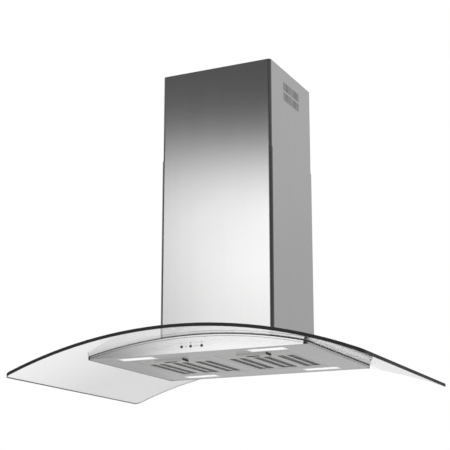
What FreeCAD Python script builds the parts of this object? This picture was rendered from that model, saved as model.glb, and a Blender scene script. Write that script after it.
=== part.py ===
import FreeCAD, Part
import math
import os

# Curved glass island range hood, in millimetres.
# Everything is drawn from the middle of the canopy's flat underside: +X to the right, +Y to the back,
# +Z up. On export it is moved so that the origin is where the ceiling carries the hood: the middle
# of the ceiling plate's top face, on the chimney's axis.

V = FreeCAD.Vector
X_AXIS = V(1, 0, 0)
Y_AXIS = V(0, 1, 0)
Z_AXIS = V(0, 0, 1)
SIDES = (-1, 1)

# ---- driving dimensions -------------------------------------------------------------------------

# overall
HOOD_HEIGHT = 746.0           # ceiling down to the canopy's underside
CHIMNEY_SETBACK = 38.0        # chimney axis behind the middle of the canopy

# glass
GLASS_WIDTH = 900.0
GLASS_DEPTH = 640.0
GLASS_THICKNESS = 8.0
GLASS_TOP_RADIUS = 1216.0     # bend of its upper face
GLASS_CROWN = 49.3            # crown of its upper face above the underside
GLASS_CORNER_RADIUS = 15.0
GLASS_EDGE_FILLET = 1.0

# canopy
CANOPY_WIDTH = 570.0
CANOPY_DEPTH = 432.0
CANOPY_CORNER_RADIUS = 9.0
SHEET = 1.0                   # stainless sheet of every outer panel
DECK_THICKNESS = 1.2
GASKET_THICKNESS = 2.0
GASKET_WIDTH = 10.0
CORNER_BLOCK = 9.0            # rubber block at each front corner, along the fascia
CORNER_BLOCK_DEPTH = 2.5
FASCIA_LIP = 1.0              # fascia reaches this far below the panel's face
FASCIA_BEAD_DROP = 3.2        # pressed line below the fascia's curved top edge
FASCIA_BEAD_WIDTH = 1.4
FASCIA_BEAD_DEPTH = 0.5
PANEL_FLANGE = 3.0
PANEL_GAP = 0.3

# opening for air and wiring through deck, glass and base
THROAT_WIDTH = 250.0
THROAT_DEPTH = 216.0
THROAT_RADIUS = 10.0
BASE_HEIGHT = 6.0             # saddle ring above the crown of the glass
BASE_PLATE = 2.0
GLASS_BOLT_DIAMETER = 6.0
GLASS_BOLT_HOLE = 6.6
GLASS_BOLT_SLEEVE = 9.0       # hole in the glass
GLASS_BOLT_SPACING_Y = 100.0
GLASS_BOLT_HEAD_DIAMETER = 11.0
GLASS_BOLT_HEAD_HEIGHT = 3.5
GLASS_NUT_WIDTH = 10.0
GLASS_NUT_HEIGHT = 5.0
GLASS_BOLT_END = 2.0          # thread left below the nut
GLASS_NUT_CLEAR = 0.1         # below the deck's curved underside

# chimney
CHIMNEY_WIDTH = 302.0
CHIMNEY_DEPTH = 268.0
CHIMNEY_CORNER_RADIUS = 8.0
SLIDE_GAP = 0.7               # between the two covers, each side
LOWER_COVER_TOP = 516.0       # height of the joint above the underside
LOWER_COVER_GAP = 0.5         # between cover and glass
UPPER_COVER_CLEAR = 1.0       # below the ceiling
CHIMNEY_TRAVEL = 180.0        # how far the upper cover lowers
LOWERED_FOOT = 125.0          # its foot above the underside when it is fully lowered
BRACKET_WIDTH = 50.0
BRACKET_HEIGHT = 18.0
BRACKET_SHEET = 2.0
VENT_COLUMNS = 2
VENT_ROWS = 2
VENT_SLOTS = 6
VENT_SLOT_WIDTH = 3.4
VENT_SLOT_HEIGHT = 22.0
VENT_PITCH = 8.3
VENT_COLUMN_PITCH = 53.0
VENT_ROW_PITCH = 27.0
VENT_TOP_OFFSET = 33.0        # from the cover's top edge

# carrying frame
POST_LEG = 20.0
POST_SHEET = 1.5
POST_CLEAR = 2.6              # from the upper cover's inner face
POST_OVERLAP = 110.0
LOWER_POST_TOP = 455.0
POST_SCREW_DIAMETER = 5.0
POST_SCREW_HEAD = 9.0
POST_SCREW_HEAD_HEIGHT = 1.2
POST_SCREW_END = 3.0
POST_SCREW_PITCH = 60.0
CEILING_PLATE = 2.0
CEILING_PLATE_GAP = 0.6       # to the upper cover
DUCT_HOLE = 160.0
CEILING_BOLT_SPACING_X = 240.0
CEILING_BOLT_SPACING_Y = 200.0
CEILING_BOLT_HOLE = 9.0
CEILING_CABLE_HOLE = 25.0

# grease filters
FILTER_WIDTH = 186.0
FILTER_DEPTH = 262.0
FILTER_HEIGHT = 9.0
FILTER_CORNER_RADIUS = 2.0
FILTER_OFFSET_X = 109.0
FILTER_OFFSET_Y = -3.0
FILTER_SIDE_GAP = 0.6
FILTER_FRONT_GAP = 1.0
FILTER_REAR_GAP = 1.6
FILTER_SHEET = 1.0
SLOT_GROUPS = 3
SLOT_GROUP_PITCH = 62.5
SLOT_WIDTH = 17.0
SLOT_BRIDGE = 8.0             # web between the two slots of a group
SLOT_LENGTH = 185.0
SLOT_REAR_MARGIN = 17.0
SLOT_JOIN = 11.0              # where the two slots meet at the rear
MESH_THICKNESS = 5.0
MESH_STEP = 1.0               # mesh above the face sheet
MESH_GAP = 0.5
TAB_WIDTH = 24.0
TAB_REACH = 8.0
TAB_THICKNESS = 1.5
TAB_LIFT = 0.4
TAB_SPACING = 110.0
CLIP_WIDTH = 16.0
CLIP_THICKNESS = 0.6
CLIP_SPACING = 130.0
PULL_WIDTH = 76.0
PULL_DEPTH = 36.0
PULL_DROP = 4.0
PULL_SLOPE = 4.0              # run of its sloping front
PULL_SHEET = 0.8
PULL_FRONT_MARGIN = 1.5
PULL_SLOT_WIDTH = 35.0
PULL_SLOT_DEPTH = 13.0
PULL_SLOT_FROM_REAR = 18.0
PULL_CORE_INSET = 0.5         # plastic core inside the cover's open ends

# lamps
LAMP_WIDTH = 97.0
LAMP_DEPTH = 38.0
LAMP_SHARE = 0.298            # middle of a lamp from the middle, as a share of the canopy's width
LAMP_FROM_FRONT = 44.0        # and from the canopy's front or rear
LAMP_GAP = 0.3
LENS_THICKNESS = 3.0
LENS_PROUD = 0.3
LENS_CORNER_RADIUS = 1.5
LAMP_WALL = 1.5
LAMP_FLANGE = 4.0
LAMP_HEIGHT = 10.5
LED_BOARD_THICKNESS = 1.6
LED_COUNT = 6
LED_SIZE = 3.0
LED_HEIGHT = 0.8
LED_BOARD_MARGIN_X = 2.0
LED_BOARD_MARGIN_Y = 5.0

# controls on the fascia
CONTROL_HEIGHT = 14.0
CONTROL_OFFSET_X = -2.0
BUTTON_X = {"off": -26.0, "speed": -2.5, "light": 26.0}
BUTTON_DIAMETER = 6.4
BUTTON_HOLE_GAP = 0.3
BUTTON_FIT = 0.06             # radial, in its guide
BUTTON_PROUD = 1.4
BUTTON_TRAVEL = 1.0
BUTTON_FLANGE_DIAMETER = 8.8
BUTTON_FLANGE = 0.8
BUTTON_FLANGE_GAP = 0.1       # behind the fascia when the button is out
BUTTON_POCKET_GAP = 0.3       # round the flange
BUTTON_EDGE_FILLET = 0.8
BUTTON_SHANK = 5.0
GUIDE_WIDTH = 72.0
GUIDE_HEIGHT = 14.0
GUIDE_DEPTH = 6.0
GUIDE_STEP = 2.2              # depth of the pockets for the button flanges
GUIDE_FOOT_DIAMETER = 5.0
GUIDE_FOOT_INSET = 3.0
BOARD_THICKNESS = 1.6
BOARD_WIDTH = 84.0
BOARD_HEIGHT = 16.0
SWITCH_SIZE = 6.0
SWITCH_CLEAR = 0.3
SWITCH_HEIGHT = 3.0
STANDOFF = 4.0
POWER_LIGHT_X = -14.0
POWER_LIGHT_DIAMETER = 3.0
SPEED_LIGHT_X = (6.5, 11.5, 16.5)
SPEED_LIGHT_DIAMETER = 2.0
LIGHT_PROUD = 0.3

# blower
SCROLL_RADIUS = 80.0
SCROLL_WIDTH = 120.0
SCROLL_SHEET = 1.5
OUTLET_WIDTH = 100.0
OUTLET_RISE = 105.0           # from the shaft to the scroll's outlet
SCROLL_FOOT_GAP = 10.0        # scroll above the base plate
INLET_DIAMETER = 108.0
IMPELLER_DIAMETER = 130.0
IMPELLER_INNER = 106.0
IMPELLER_WIDTH = 88.0
BLADE_COUNT = 30
BLADE_THICKNESS = 1.4
BLADE_ANGLE = 32.0
BLADE_INSET = 0.5             # blade ends inside the rims' edges
RIM_THICKNESS = 3.0
DISC_X = 12.0
DISC_THICKNESS = 3.0
HUB_DIAMETER = 22.0
HUB_LENGTH = 18.0
SHAFT_DIAMETER = 8.0
SHAFT_FIT = 0.05              # radial, in the bushes
SHAFT_END = 4.0
SHAFT_RECESS = 1.0            # inside the motor's outer boss
MOTOR_DIAMETER = 80.0
MOTOR_LENGTH = 68.0
MOTOR_INNER_X = -6.0
MOTOR_BOSS_DIAMETER = 26.0
MOTOR_BOSS = 6.0
MOTOR_BORE_DIAMETER = 9.0
MOTOR_EDGE_FILLET = 5.0
BUSH_DIAMETER = 13.0
BUSH_LENGTH = 9.0
SPIDER_THICKNESS = 2.5
SPIDER_RING_DIAMETER = 128.0
SPIDER_COLLAR = 4.0
SPIDER_ARM = 14.0
SPIDER_ARMS = 3
RAIL_WIDTH = 16.0
RAIL_HEIGHT = 8.0
RAIL_SPACING = 96.0
RAIL_SADDLE_WIDTH = 112.0
RAIL_SADDLE_HEIGHT = 26.0
RAIL_END = 6.0                # rail ends inside the base plate's edge

# outlet and back-draught flaps
ADAPTER_SIZE = 164.0
ADAPTER_HEIGHT = 22.0
COLLAR_DIAMETER = 150.0
COLLAR_WALL = 2.0
COLLAR_HEIGHT = 95.0
FLAP_LEVEL = 8.0              # flap pin above the adapter's top
FLAP_THICKNESS = 1.0
FLAP_RIM_GAP = 0.8
FLAP_PIN_DIAMETER = 3.0
FLAP_PIN_FIT = 0.06
KNUCKLE_DIAMETER = 6.0
KNUCKLE_GAP = 0.5
FRONT_KNUCKLES = ((-66.0, -38.0), (38.0, 66.0))
REAR_KNUCKLES = ((-34.0, -6.0), (6.0, 34.0))
FLAP_STOP = 2.0
FLAP_REST_GAP = 0.3

# electrics in the chimney
POWER_BOX_WIDTH = 46.0
POWER_BOX_DEPTH = 130.0
POWER_BOX_HEIGHT = 34.0
POWER_BOX_X = 104.0
POWER_BOX_WALL = 2.0
POWER_LID = 2.0
POWER_PART_WIDTH = 32.0
POWER_PART_DEPTH = 28.0
POWER_PART_OFFSET = 36.0
TRANSFORMER_HEIGHT = 18.0
RELAY_HEIGHT = 12.0
GLAND_DIAMETER = 20.0
GLAND_BORE = 8.0
GLAND_HEIGHT = 16.0
GLAND_NUT = 24.0
GLAND_NUT_HEIGHT = 5.0
CAPACITOR_DIAMETER = 30.0
CAPACITOR_LENGTH = 118.0
CAPACITOR_X = -112.0
CAPACITOR_EDGE_FILLET = 2.0
CAPACITOR_STUD_DIAMETER = 8.0
CAPACITOR_STUD = 6.0
DRIVER_WIDTH = 120.0
DRIVER_DEPTH = 38.0
DRIVER_HEIGHT = 18.0
DRIVER_CORNER_RADIUS = 3.0
DRIVER_EAR = 10.0
DRIVER_EAR_WIDTH = 12.0
DRIVER_EAR_SHEET = 2.0

# ---- worked-out values --------------------------------------------------------------------------

ARCH_Z = GLASS_CROWN - GLASS_TOP_RADIUS
GLASS_BOTTOM_RADIUS = GLASS_TOP_RADIUS - GLASS_THICKNESS
DECK_TOP_RADIUS = GLASS_BOTTOM_RADIUS - GASKET_THICKNESS
DECK_BOTTOM_RADIUS = DECK_TOP_RADIUS - DECK_THICKNESS
FRONT_Y = -CANOPY_DEPTH / 2
CHIMNEY_Y = CHIMNEY_SETBACK
LAMP_OFFSET_X = CANOPY_WIDTH * LAMP_SHARE
LAMP_OFFSET_Y = CANOPY_DEPTH / 2 - LAMP_FROM_FRONT
PANEL_Z = FASCIA_LIP
PANEL_TOP = PANEL_Z + SHEET
BASE_Z = GLASS_CROWN + BASE_HEIGHT
BASE_TOP = BASE_Z + BASE_PLATE
COVER_TOP = HOOD_HEIGHT - UPPER_COVER_CLEAR
INNER_WIDTH = CHIMNEY_WIDTH - 2 * SHEET
INNER_DEPTH = CHIMNEY_DEPTH - 2 * SHEET
LOWER_WIDTH = CHIMNEY_WIDTH + 2 * (SLIDE_GAP + SHEET)
LOWER_DEPTH = CHIMNEY_DEPTH + 2 * (SLIDE_GAP + SHEET)
LOWER_RADIUS = CHIMNEY_CORNER_RADIUS + SLIDE_GAP + SHEET
POST_X = INNER_WIDTH / 2 - POST_CLEAR
POST_Y = INNER_DEPTH / 2 - POST_CLEAR
BLOWER_Y = CHIMNEY_Y - (SCROLL_RADIUS - OUTLET_WIDTH / 2)
BLOWER_Z = BASE_TOP + SCROLL_FOOT_GAP + SCROLL_RADIUS
OUTLET_Z = BLOWER_Z + OUTLET_RISE
COLLAR_Z = OUTLET_Z + ADAPTER_HEIGHT
PIN_Z = COLLAR_Z + FLAP_LEVEL
HINGE_Y = FILTER_OFFSET_Y + FILTER_DEPTH / 2 + FILTER_REAR_GAP
RAIL_TOP = BASE_TOP + RAIL_HEIGHT
FAR = 2000.0                  # longer than the hood, for trimming solids
ORIGIN_SHIFT = V(0, -CHIMNEY_Y, -HOOD_HEIGHT)


# ---- shape helpers ------------------------------------------------------------------------------

def box(x0, x1, y0, y1, z0, z1):
    return Part.makeBox(x1 - x0, y1 - y0, z1 - z0, V(x0, y0, z0))


def block(width, depth, z0, z1, x=0.0, y=0.0):
    return box(x - width / 2, x + width / 2, y - depth / 2, y + depth / 2, z0, z1)


def rounded_block(width, depth, z0, z1, radius, x=0.0, y=0.0):
    solid = block(width, depth, z0, z1, x, y)
    uprights = [edge for edge in solid.Edges if abs(edge.tangentAt(edge.FirstParameter).z) > 0.9]
    return solid.makeFillet(radius, uprights)


def rod(diameter, length, start, direction=Z_AXIS):
    return Part.makeCylinder(diameter / 2, length, start, direction)


def ring(outer, inner, length, start, direction=Z_AXIS):
    return rod(outer, length, start, direction).cut(rod(inner, length, start, direction))


def joined(shapes):
    first = shapes[0]
    return first.fuse(shapes[1:]).removeSplitter() if len(shapes) > 1 else first


def arch_cylinder(radius):
    """The solid below a surface that is bent like the glass."""
    return Part.makeCylinder(radius, FAR, V(0, -FAR / 2, ARCH_Z), Y_AXIS)


def bent(plan, top_radius, bottom_radius):
    """The part of an upright solid between two bent surfaces."""
    return plan.common(arch_cylinder(top_radius)).cut(arch_cylinder(bottom_radius))


def arch_height(x, radius):
    return ARCH_Z + math.sqrt(radius ** 2 - x ** 2)


def throat(z0, z1):
    return rounded_block(THROAT_WIDTH, THROAT_DEPTH, z0, z1, THROAT_RADIUS, 0.0, CHIMNEY_Y)


def throat_frame(z0, z1):
    """Frame round the throat, out to the corners where the posts stand."""
    frame = rounded_block(2 * POST_X, 2 * POST_Y, z0, z1, CHIMNEY_CORNER_RADIUS / 2, 0.0, CHIMNEY_Y)
    return frame.cut(throat(z0, z1))


def glass_bolt_places():
    x = (THROAT_WIDTH / 2 + POST_X) / 2
    return [(side * x, CHIMNEY_Y + end * GLASS_BOLT_SPACING_Y / 2) for side in SIDES for end in SIDES]


def drilled(solid, diameter, places):
    for x, y in places:
        solid = solid.cut(rod(diameter, FAR, V(x, y, -FAR / 2)))
    return solid


# ---- glass and canopy ---------------------------------------------------------------------------

def glass_canopy():
    low = arch_height(GLASS_WIDTH / 2, GLASS_BOTTOM_RADIUS) - GLASS_THICKNESS
    plan = rounded_block(GLASS_WIDTH, GLASS_DEPTH, low, GLASS_CROWN + 1, GLASS_CORNER_RADIUS)
    glass = bent(plan, GLASS_TOP_RADIUS, GLASS_BOTTOM_RADIUS)
    outer_edges = [edge for edge in glass.Edges if not upright(edge)]
    glass = glass.makeFillet(GLASS_EDGE_FILLET, outer_edges)
    glass = glass.cut(throat(low, GLASS_CROWN + 1))
    return drilled(glass, GLASS_BOLT_SLEEVE, glass_bolt_places())


def upright(edge):
    middle = (edge.FirstParameter + edge.LastParameter) / 2
    return abs(edge.tangentAt(middle).z) > 0.9


def perimeter_gasket():
    outer = rounded_block(CANOPY_WIDTH, CANOPY_DEPTH, 0, GLASS_CROWN, CANOPY_CORNER_RADIUS)
    inner = block(CANOPY_WIDTH - 2 * GASKET_WIDTH, CANOPY_DEPTH - 2 * GASKET_WIDTH, 0, GLASS_CROWN)
    strip = bent(outer.cut(inner), GLASS_BOTTOM_RADIUS, DECK_TOP_RADIUS)
    blocks = []
    for side in SIDES:
        near = side * (CANOPY_WIDTH / 2 - CORNER_BLOCK)
        far = side * CANOPY_WIDTH / 2
        corner = box(min(near, far), max(near, far), FRONT_Y, FRONT_Y + CORNER_BLOCK_DEPTH, 0, GLASS_CROWN)
        blocks.append(corner.common(outer).common(arch_cylinder(GLASS_BOTTOM_RADIUS)))
    return joined([strip] + blocks)


def throat_gasket():
    frame = throat_frame(0, GLASS_CROWN)
    return drilled(bent(frame, GLASS_BOTTOM_RADIUS, DECK_TOP_RADIUS), GLASS_BOLT_HOLE, glass_bolt_places())


def canopy_hollow(z1, gap=0.0):
    """The inside of the canopy's walls."""
    inset = 2 * (SHEET + gap)
    return rounded_block(CANOPY_WIDTH - inset, CANOPY_DEPTH - inset, 0, z1, CANOPY_CORNER_RADIUS - SHEET)


def corner_blocks_room():
    """The front corners, which the rubber blocks fill."""
    room = []
    for side in SIDES:
        near = side * (CANOPY_WIDTH / 2 - CORNER_BLOCK)
        far = side * CANOPY_WIDTH
        room.append(box(min(near, far), max(near, far), FRONT_Y - 1, FRONT_Y + CORNER_BLOCK_DEPTH,
                        -1, GLASS_CROWN))
    return room[0].fuse(room[1])


def top_deck():
    deck = bent(canopy_hollow(GLASS_CROWN), DECK_TOP_RADIUS, DECK_BOTTOM_RADIUS)
    deck = deck.cut(corner_blocks_room())
    deck = deck.cut(throat(0, GLASS_CROWN))
    return drilled(deck, GLASS_BOLT_HOLE, glass_bolt_places())


def front_fascia():
    half = CANOPY_WIDTH / 2 - CORNER_BLOCK
    plate = box(-half, half, FRONT_Y, FRONT_Y + SHEET, 0, GLASS_CROWN)
    plate = plate.common(arch_cylinder(DECK_TOP_RADIUS))
    bead_half = half - CORNER_BLOCK
    groove = box(-bead_half, bead_half, FRONT_Y, FRONT_Y + FASCIA_BEAD_DEPTH, SHEET, GLASS_CROWN)
    groove = bent(groove, DECK_TOP_RADIUS - FASCIA_BEAD_DROP,
                  DECK_TOP_RADIUS - FASCIA_BEAD_DROP - FASCIA_BEAD_WIDTH)
    plate = plate.cut(groove)
    for x in BUTTON_X.values():
        plate = plate.cut(control_hole(x, BUTTON_DIAMETER + 2 * BUTTON_HOLE_GAP))
    plate = plate.cut(control_hole(POWER_LIGHT_X, POWER_LIGHT_DIAMETER))
    for x in SPEED_LIGHT_X:
        plate = plate.cut(control_hole(x, SPEED_LIGHT_DIAMETER))
    return plate


def canopy_band():
    """Rear wall and both ends, bent from one strip."""
    band = rounded_block(CANOPY_WIDTH, CANOPY_DEPTH, 0, GLASS_CROWN, CANOPY_CORNER_RADIUS)
    band = band.cut(canopy_hollow(GLASS_CROWN))
    band = band.cut(box(-FAR, FAR, -FAR, FRONT_Y + CORNER_BLOCK_DEPTH, -1, GLASS_CROWN))
    return band.common(arch_cylinder(DECK_TOP_RADIUS))


def filter_opening(side):
    x = side * FILTER_OFFSET_X
    half = FILTER_WIDTH / 2 + FILTER_SIDE_GAP
    front = HINGE_Y - FILTER_REAR_GAP - FILTER_DEPTH - FILTER_FRONT_GAP
    return box(x - half, x + half, front, HINGE_Y, 0, GLASS_CROWN)


def lamp_places():
    names = {(-1, -1): "front_left", (1, -1): "front_right", (-1, 1): "rear_left", (1, 1): "rear_right"}
    return {name: (sx * LAMP_OFFSET_X, sy * LAMP_OFFSET_Y) for (sx, sy), name in names.items()}


def underside_panel():
    tray = rounded_block(CANOPY_WIDTH - 2 * (SHEET + PANEL_GAP), CANOPY_DEPTH - 2 * (SHEET + PANEL_GAP),
                         PANEL_Z, PANEL_TOP + PANEL_FLANGE, CANOPY_CORNER_RADIUS - SHEET)
    hollow = canopy_hollow(PANEL_TOP + PANEL_FLANGE, SHEET + PANEL_GAP)
    hollow = hollow.cut(box(-FAR, FAR, -FAR, FAR, -1, PANEL_TOP))
    tray = tray.cut(hollow)
    tray = tray.cut(corner_blocks_room())
    for side in SIDES:
        tray = tray.cut(filter_opening(side))
    for x, y in lamp_places().values():
        tray = tray.cut(block(LAMP_WIDTH + 2 * LAMP_GAP, LAMP_DEPTH + 2 * LAMP_GAP, 0, GLASS_CROWN, x, y))
    return tray.common(arch_cylinder(DECK_BOTTOM_RADIUS))


# ---- grease filters -----------------------------------------------------------------------------

def filter_slots(x):
    rear = FILTER_OFFSET_Y + FILTER_DEPTH / 2 - SLOT_REAR_MARGIN
    shift = (SLOT_WIDTH + SLOT_BRIDGE) / 2
    cuts = []
    for n in range(SLOT_GROUPS):
        middle = x + (n - (SLOT_GROUPS - 1) / 2) * SLOT_GROUP_PITCH
        for half in SIDES:
            cuts.append(rounded_block(SLOT_WIDTH, SLOT_LENGTH, 0, PANEL_TOP, SLOT_WIDTH / 4,
                                      middle + half * shift, rear - SLOT_LENGTH / 2))
        cuts.append(block(2 * shift, SLOT_JOIN, 0, PANEL_TOP, middle, rear - SLOT_JOIN))
    return cuts


def grease_filter(side):
    x = side * FILTER_OFFSET_X
    y = FILTER_OFFSET_Y
    tray = rounded_block(FILTER_WIDTH, FILTER_DEPTH, PANEL_Z, PANEL_Z + FILTER_HEIGHT,
                         FILTER_CORNER_RADIUS, x, y)
    hollow = rounded_block(FILTER_WIDTH - 2 * FILTER_SHEET, FILTER_DEPTH - 2 * FILTER_SHEET,
                           PANEL_Z + FILTER_SHEET, PANEL_Z + FILTER_HEIGHT,
                           FILTER_CORNER_RADIUS - FILTER_SHEET, x, y)
    tray = tray.cut(hollow)
    for cut in filter_slots(x):
        tray = tray.cut(cut)
    tabs = []
    for end in SIDES:
        tab_x = x + end * TAB_SPACING / 2
        rear = y + FILTER_DEPTH / 2
        low = PANEL_TOP + TAB_LIFT
        tabs.append(box(tab_x - TAB_WIDTH / 2, tab_x + TAB_WIDTH / 2, rear - FILTER_SHEET, rear + TAB_REACH,
                        low, low + TAB_THICKNESS))
    return joined([tray] + tabs + filter_clips(side))


def filter_mesh(side):
    low = PANEL_Z + FILTER_SHEET + MESH_STEP
    x = side * FILTER_OFFSET_X
    width = FILTER_WIDTH - 2 * (FILTER_SHEET + MESH_GAP)
    depth = FILTER_DEPTH - 2 * (FILTER_SHEET + MESH_GAP)
    pad = block(width, depth, low, low + MESH_THICKNESS, x, FILTER_OFFSET_Y)
    ledge = block(width, SLOT_REAR_MARGIN / 2, PANEL_Z + FILTER_SHEET, low,
                  x, FILTER_OFFSET_Y + depth / 2 - SLOT_REAR_MARGIN / 4)
    return joined([pad, ledge])


def filter_clips(side):
    """Spring leaves on the filter's front wall that grip the edge of the panel's opening."""
    front = FILTER_OFFSET_Y - FILTER_DEPTH / 2
    leaves = []
    for end in SIDES:
        x = side * FILTER_OFFSET_X + end * CLIP_SPACING / 2
        leaves.append(box(x - CLIP_WIDTH / 2, x + CLIP_WIDTH / 2, front - CLIP_THICKNESS, front,
                          PANEL_Z, PANEL_Z + FILTER_HEIGHT - FILTER_SHEET))
    return leaves


def pull_y():
    return FILTER_OFFSET_Y - FILTER_DEPTH / 2 + PULL_FRONT_MARGIN + PULL_DEPTH / 2


def pull_slot(x, z0, z1):
    y = pull_y() + PULL_DEPTH / 2 - PULL_SLOT_FROM_REAR
    return rounded_block(PULL_SLOT_WIDTH, PULL_SLOT_DEPTH, z0, z1, PULL_SLOT_DEPTH / 3, x, y)


def pull_block(width, x, inset):
    """The pull's sloping-fronted block, with its front, rear and underside this far inside."""
    front = pull_y() - PULL_DEPTH / 2
    rear = pull_y() + PULL_DEPTH / 2 - inset
    low = PANEL_Z - PULL_DROP + inset
    normal = math.hypot(PULL_SLOPE, PULL_DROP)
    top_front = front + inset * normal / PULL_DROP
    low_front = top_front + PULL_SLOPE * (PULL_DROP - inset) / PULL_DROP
    start = x - width / 2
    points = [V(start, top_front, PANEL_Z), V(start, low_front, low), V(start, rear, low),
              V(start, rear, PANEL_Z), V(start, top_front, PANEL_Z)]
    return Part.Face(Part.makePolygon(points)).extrude(V(width, 0, 0))


def filter_pull(side):
    """Folded steel cover of the finger pull, open at its two ends."""
    x = side * FILTER_OFFSET_X
    cover = pull_block(PULL_WIDTH, x, 0.0).cut(pull_block(PULL_WIDTH, x, PULL_SHEET))
    return cover.cut(pull_slot(x, PANEL_Z - PULL_DROP, PANEL_Z))


def filter_grip(side):
    """Plastic core of the finger pull, with its finger pocket."""
    x = side * FILTER_OFFSET_X
    core = pull_block(PULL_WIDTH - 2 * PULL_CORE_INSET, x, PULL_SHEET)
    return core.cut(pull_slot(x, PANEL_Z - PULL_DROP, PANEL_Z - PULL_SHEET))


# ---- lamps --------------------------------------------------------------------------------------

def lamp_lens(x, y):
    low = PANEL_Z - LENS_PROUD
    return rounded_block(LAMP_WIDTH, LAMP_DEPTH, low, low + LENS_THICKNESS, LENS_CORNER_RADIUS, x, y)


def lamp_housing(x, y):
    top = PANEL_TOP + LAMP_HEIGHT
    shell = block(LAMP_WIDTH + 2 * LAMP_WALL, LAMP_DEPTH + 2 * LAMP_WALL, PANEL_TOP, top, x, y)
    flange = block(LAMP_WIDTH + 2 * (LAMP_WALL + LAMP_FLANGE), LAMP_DEPTH + 2 * LAMP_WALL,
                   PANEL_TOP, PANEL_TOP + LAMP_WALL, x, y)
    inside = block(LAMP_WIDTH, LAMP_DEPTH, PANEL_TOP, top - LAMP_WALL, x, y)
    return joined([shell, flange]).cut(inside)


def lamp_boards():
    boards = []
    roof = PANEL_TOP + LAMP_HEIGHT - LAMP_WALL
    for x, y in lamp_places().values():
        board = block(LAMP_WIDTH - 2 * LED_BOARD_MARGIN_X, LAMP_DEPTH - 2 * LED_BOARD_MARGIN_Y,
                      roof - LED_BOARD_THICKNESS, roof, x, y)
        leds = []
        for n in range(LED_COUNT):
            led_x = x + (n - (LED_COUNT - 1) / 2) * (LAMP_WIDTH - 2 * LED_BOARD_MARGIN_Y) / LED_COUNT
            low = roof - LED_BOARD_THICKNESS - LED_HEIGHT
            leds.append(block(LED_SIZE, LED_SIZE, low, roof - LED_BOARD_THICKNESS, led_x, y))
        boards.append(joined([board] + leds))
    return Part.makeCompound(boards)


def lamp_driver():
    y = LAMP_OFFSET_Y
    case = rounded_block(DRIVER_WIDTH, DRIVER_DEPTH, PANEL_TOP, PANEL_TOP + DRIVER_HEIGHT,
                         DRIVER_CORNER_RADIUS, 0.0, y)
    ears = block(DRIVER_WIDTH + 2 * DRIVER_EAR, DRIVER_EAR_WIDTH, PANEL_TOP,
                 PANEL_TOP + DRIVER_EAR_SHEET, 0.0, y)
    return joined([case, ears])


# ---- controls -----------------------------------------------------------------------------------

def control_x(x):
    return CONTROL_OFFSET_X + x


def control_hole(x, diameter):
    return rod(diameter, 10 * SHEET, V(control_x(x), FRONT_Y - SHEET, CONTROL_HEIGHT), Y_AXIS)


def board_y():
    return FRONT_Y + SHEET + GUIDE_DEPTH + STANDOFF


def control_guide():
    """Plastic block behind the fascia that guides the buttons and holds the lights."""
    back = FRONT_Y + SHEET
    left = control_x(0) - GUIDE_WIDTH / 2
    body = box(left, left + GUIDE_WIDTH, back, back + GUIDE_DEPTH,
               CONTROL_HEIGHT - GUIDE_HEIGHT / 2, CONTROL_HEIGHT + GUIDE_HEIGHT / 2)
    for x in BUTTON_X.values():
        start = V(control_x(x), back, CONTROL_HEIGHT)
        body = body.cut(rod(BUTTON_FLANGE_DIAMETER + 2 * BUTTON_POCKET_GAP, GUIDE_STEP, start, Y_AXIS))
        body = body.cut(rod(BUTTON_SHANK + 2 * BUTTON_FIT, GUIDE_DEPTH, start, Y_AXIS))
    body = body.cut(control_hole(POWER_LIGHT_X, POWER_LIGHT_DIAMETER))
    for x in SPEED_LIGHT_X:
        body = body.cut(control_hole(x, SPEED_LIGHT_DIAMETER))
    feet = []
    for end in SIDES:
        foot_x = control_x(0) + end * (GUIDE_WIDTH / 2 - GUIDE_FOOT_INSET)
        feet.append(rod(GUIDE_FOOT_DIAMETER, STANDOFF, V(foot_x, back + GUIDE_DEPTH, CONTROL_HEIGHT), Y_AXIS))
    return joined([body] + feet)


def button(x):
    """Cap through the fascia, flange behind it and a shank that reaches the switch."""
    centre = control_x(x)
    back = FRONT_Y + SHEET
    cap_start = FRONT_Y - BUTTON_PROUD
    cap_length = BUTTON_PROUD + SHEET + BUTTON_FLANGE
    cap = rod(BUTTON_DIAMETER, cap_length, V(centre, cap_start, CONTROL_HEIGHT), Y_AXIS)
    rim = [edge for edge in cap.Edges if edge.Closed and abs(edge.CenterOfMass.y - cap_start) < 1e-6]
    cap = cap.makeFillet(BUTTON_EDGE_FILLET, rim)
    inner = V(centre, back + BUTTON_FLANGE_GAP, CONTROL_HEIGHT)
    flange = rod(BUTTON_FLANGE_DIAMETER, BUTTON_FLANGE, inner, Y_AXIS)
    reach = board_y() - SWITCH_HEIGHT - SWITCH_CLEAR - BUTTON_TRAVEL
    shank = rod(BUTTON_SHANK, reach - inner.y, inner, Y_AXIS)
    return joined([cap, flange, shank])


def power_light():
    start = V(control_x(POWER_LIGHT_X), FRONT_Y - LIGHT_PROUD, CONTROL_HEIGHT)
    return rod(POWER_LIGHT_DIAMETER, LIGHT_PROUD + SHEET + GUIDE_DEPTH, start, Y_AXIS)


def speed_lights():
    pins = []
    for x in SPEED_LIGHT_X:
        start = V(control_x(x), FRONT_Y - LIGHT_PROUD, CONTROL_HEIGHT)
        pins.append(rod(SPEED_LIGHT_DIAMETER, LIGHT_PROUD + SHEET + GUIDE_DEPTH, start, Y_AXIS))
    return Part.makeCompound(pins)


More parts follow.
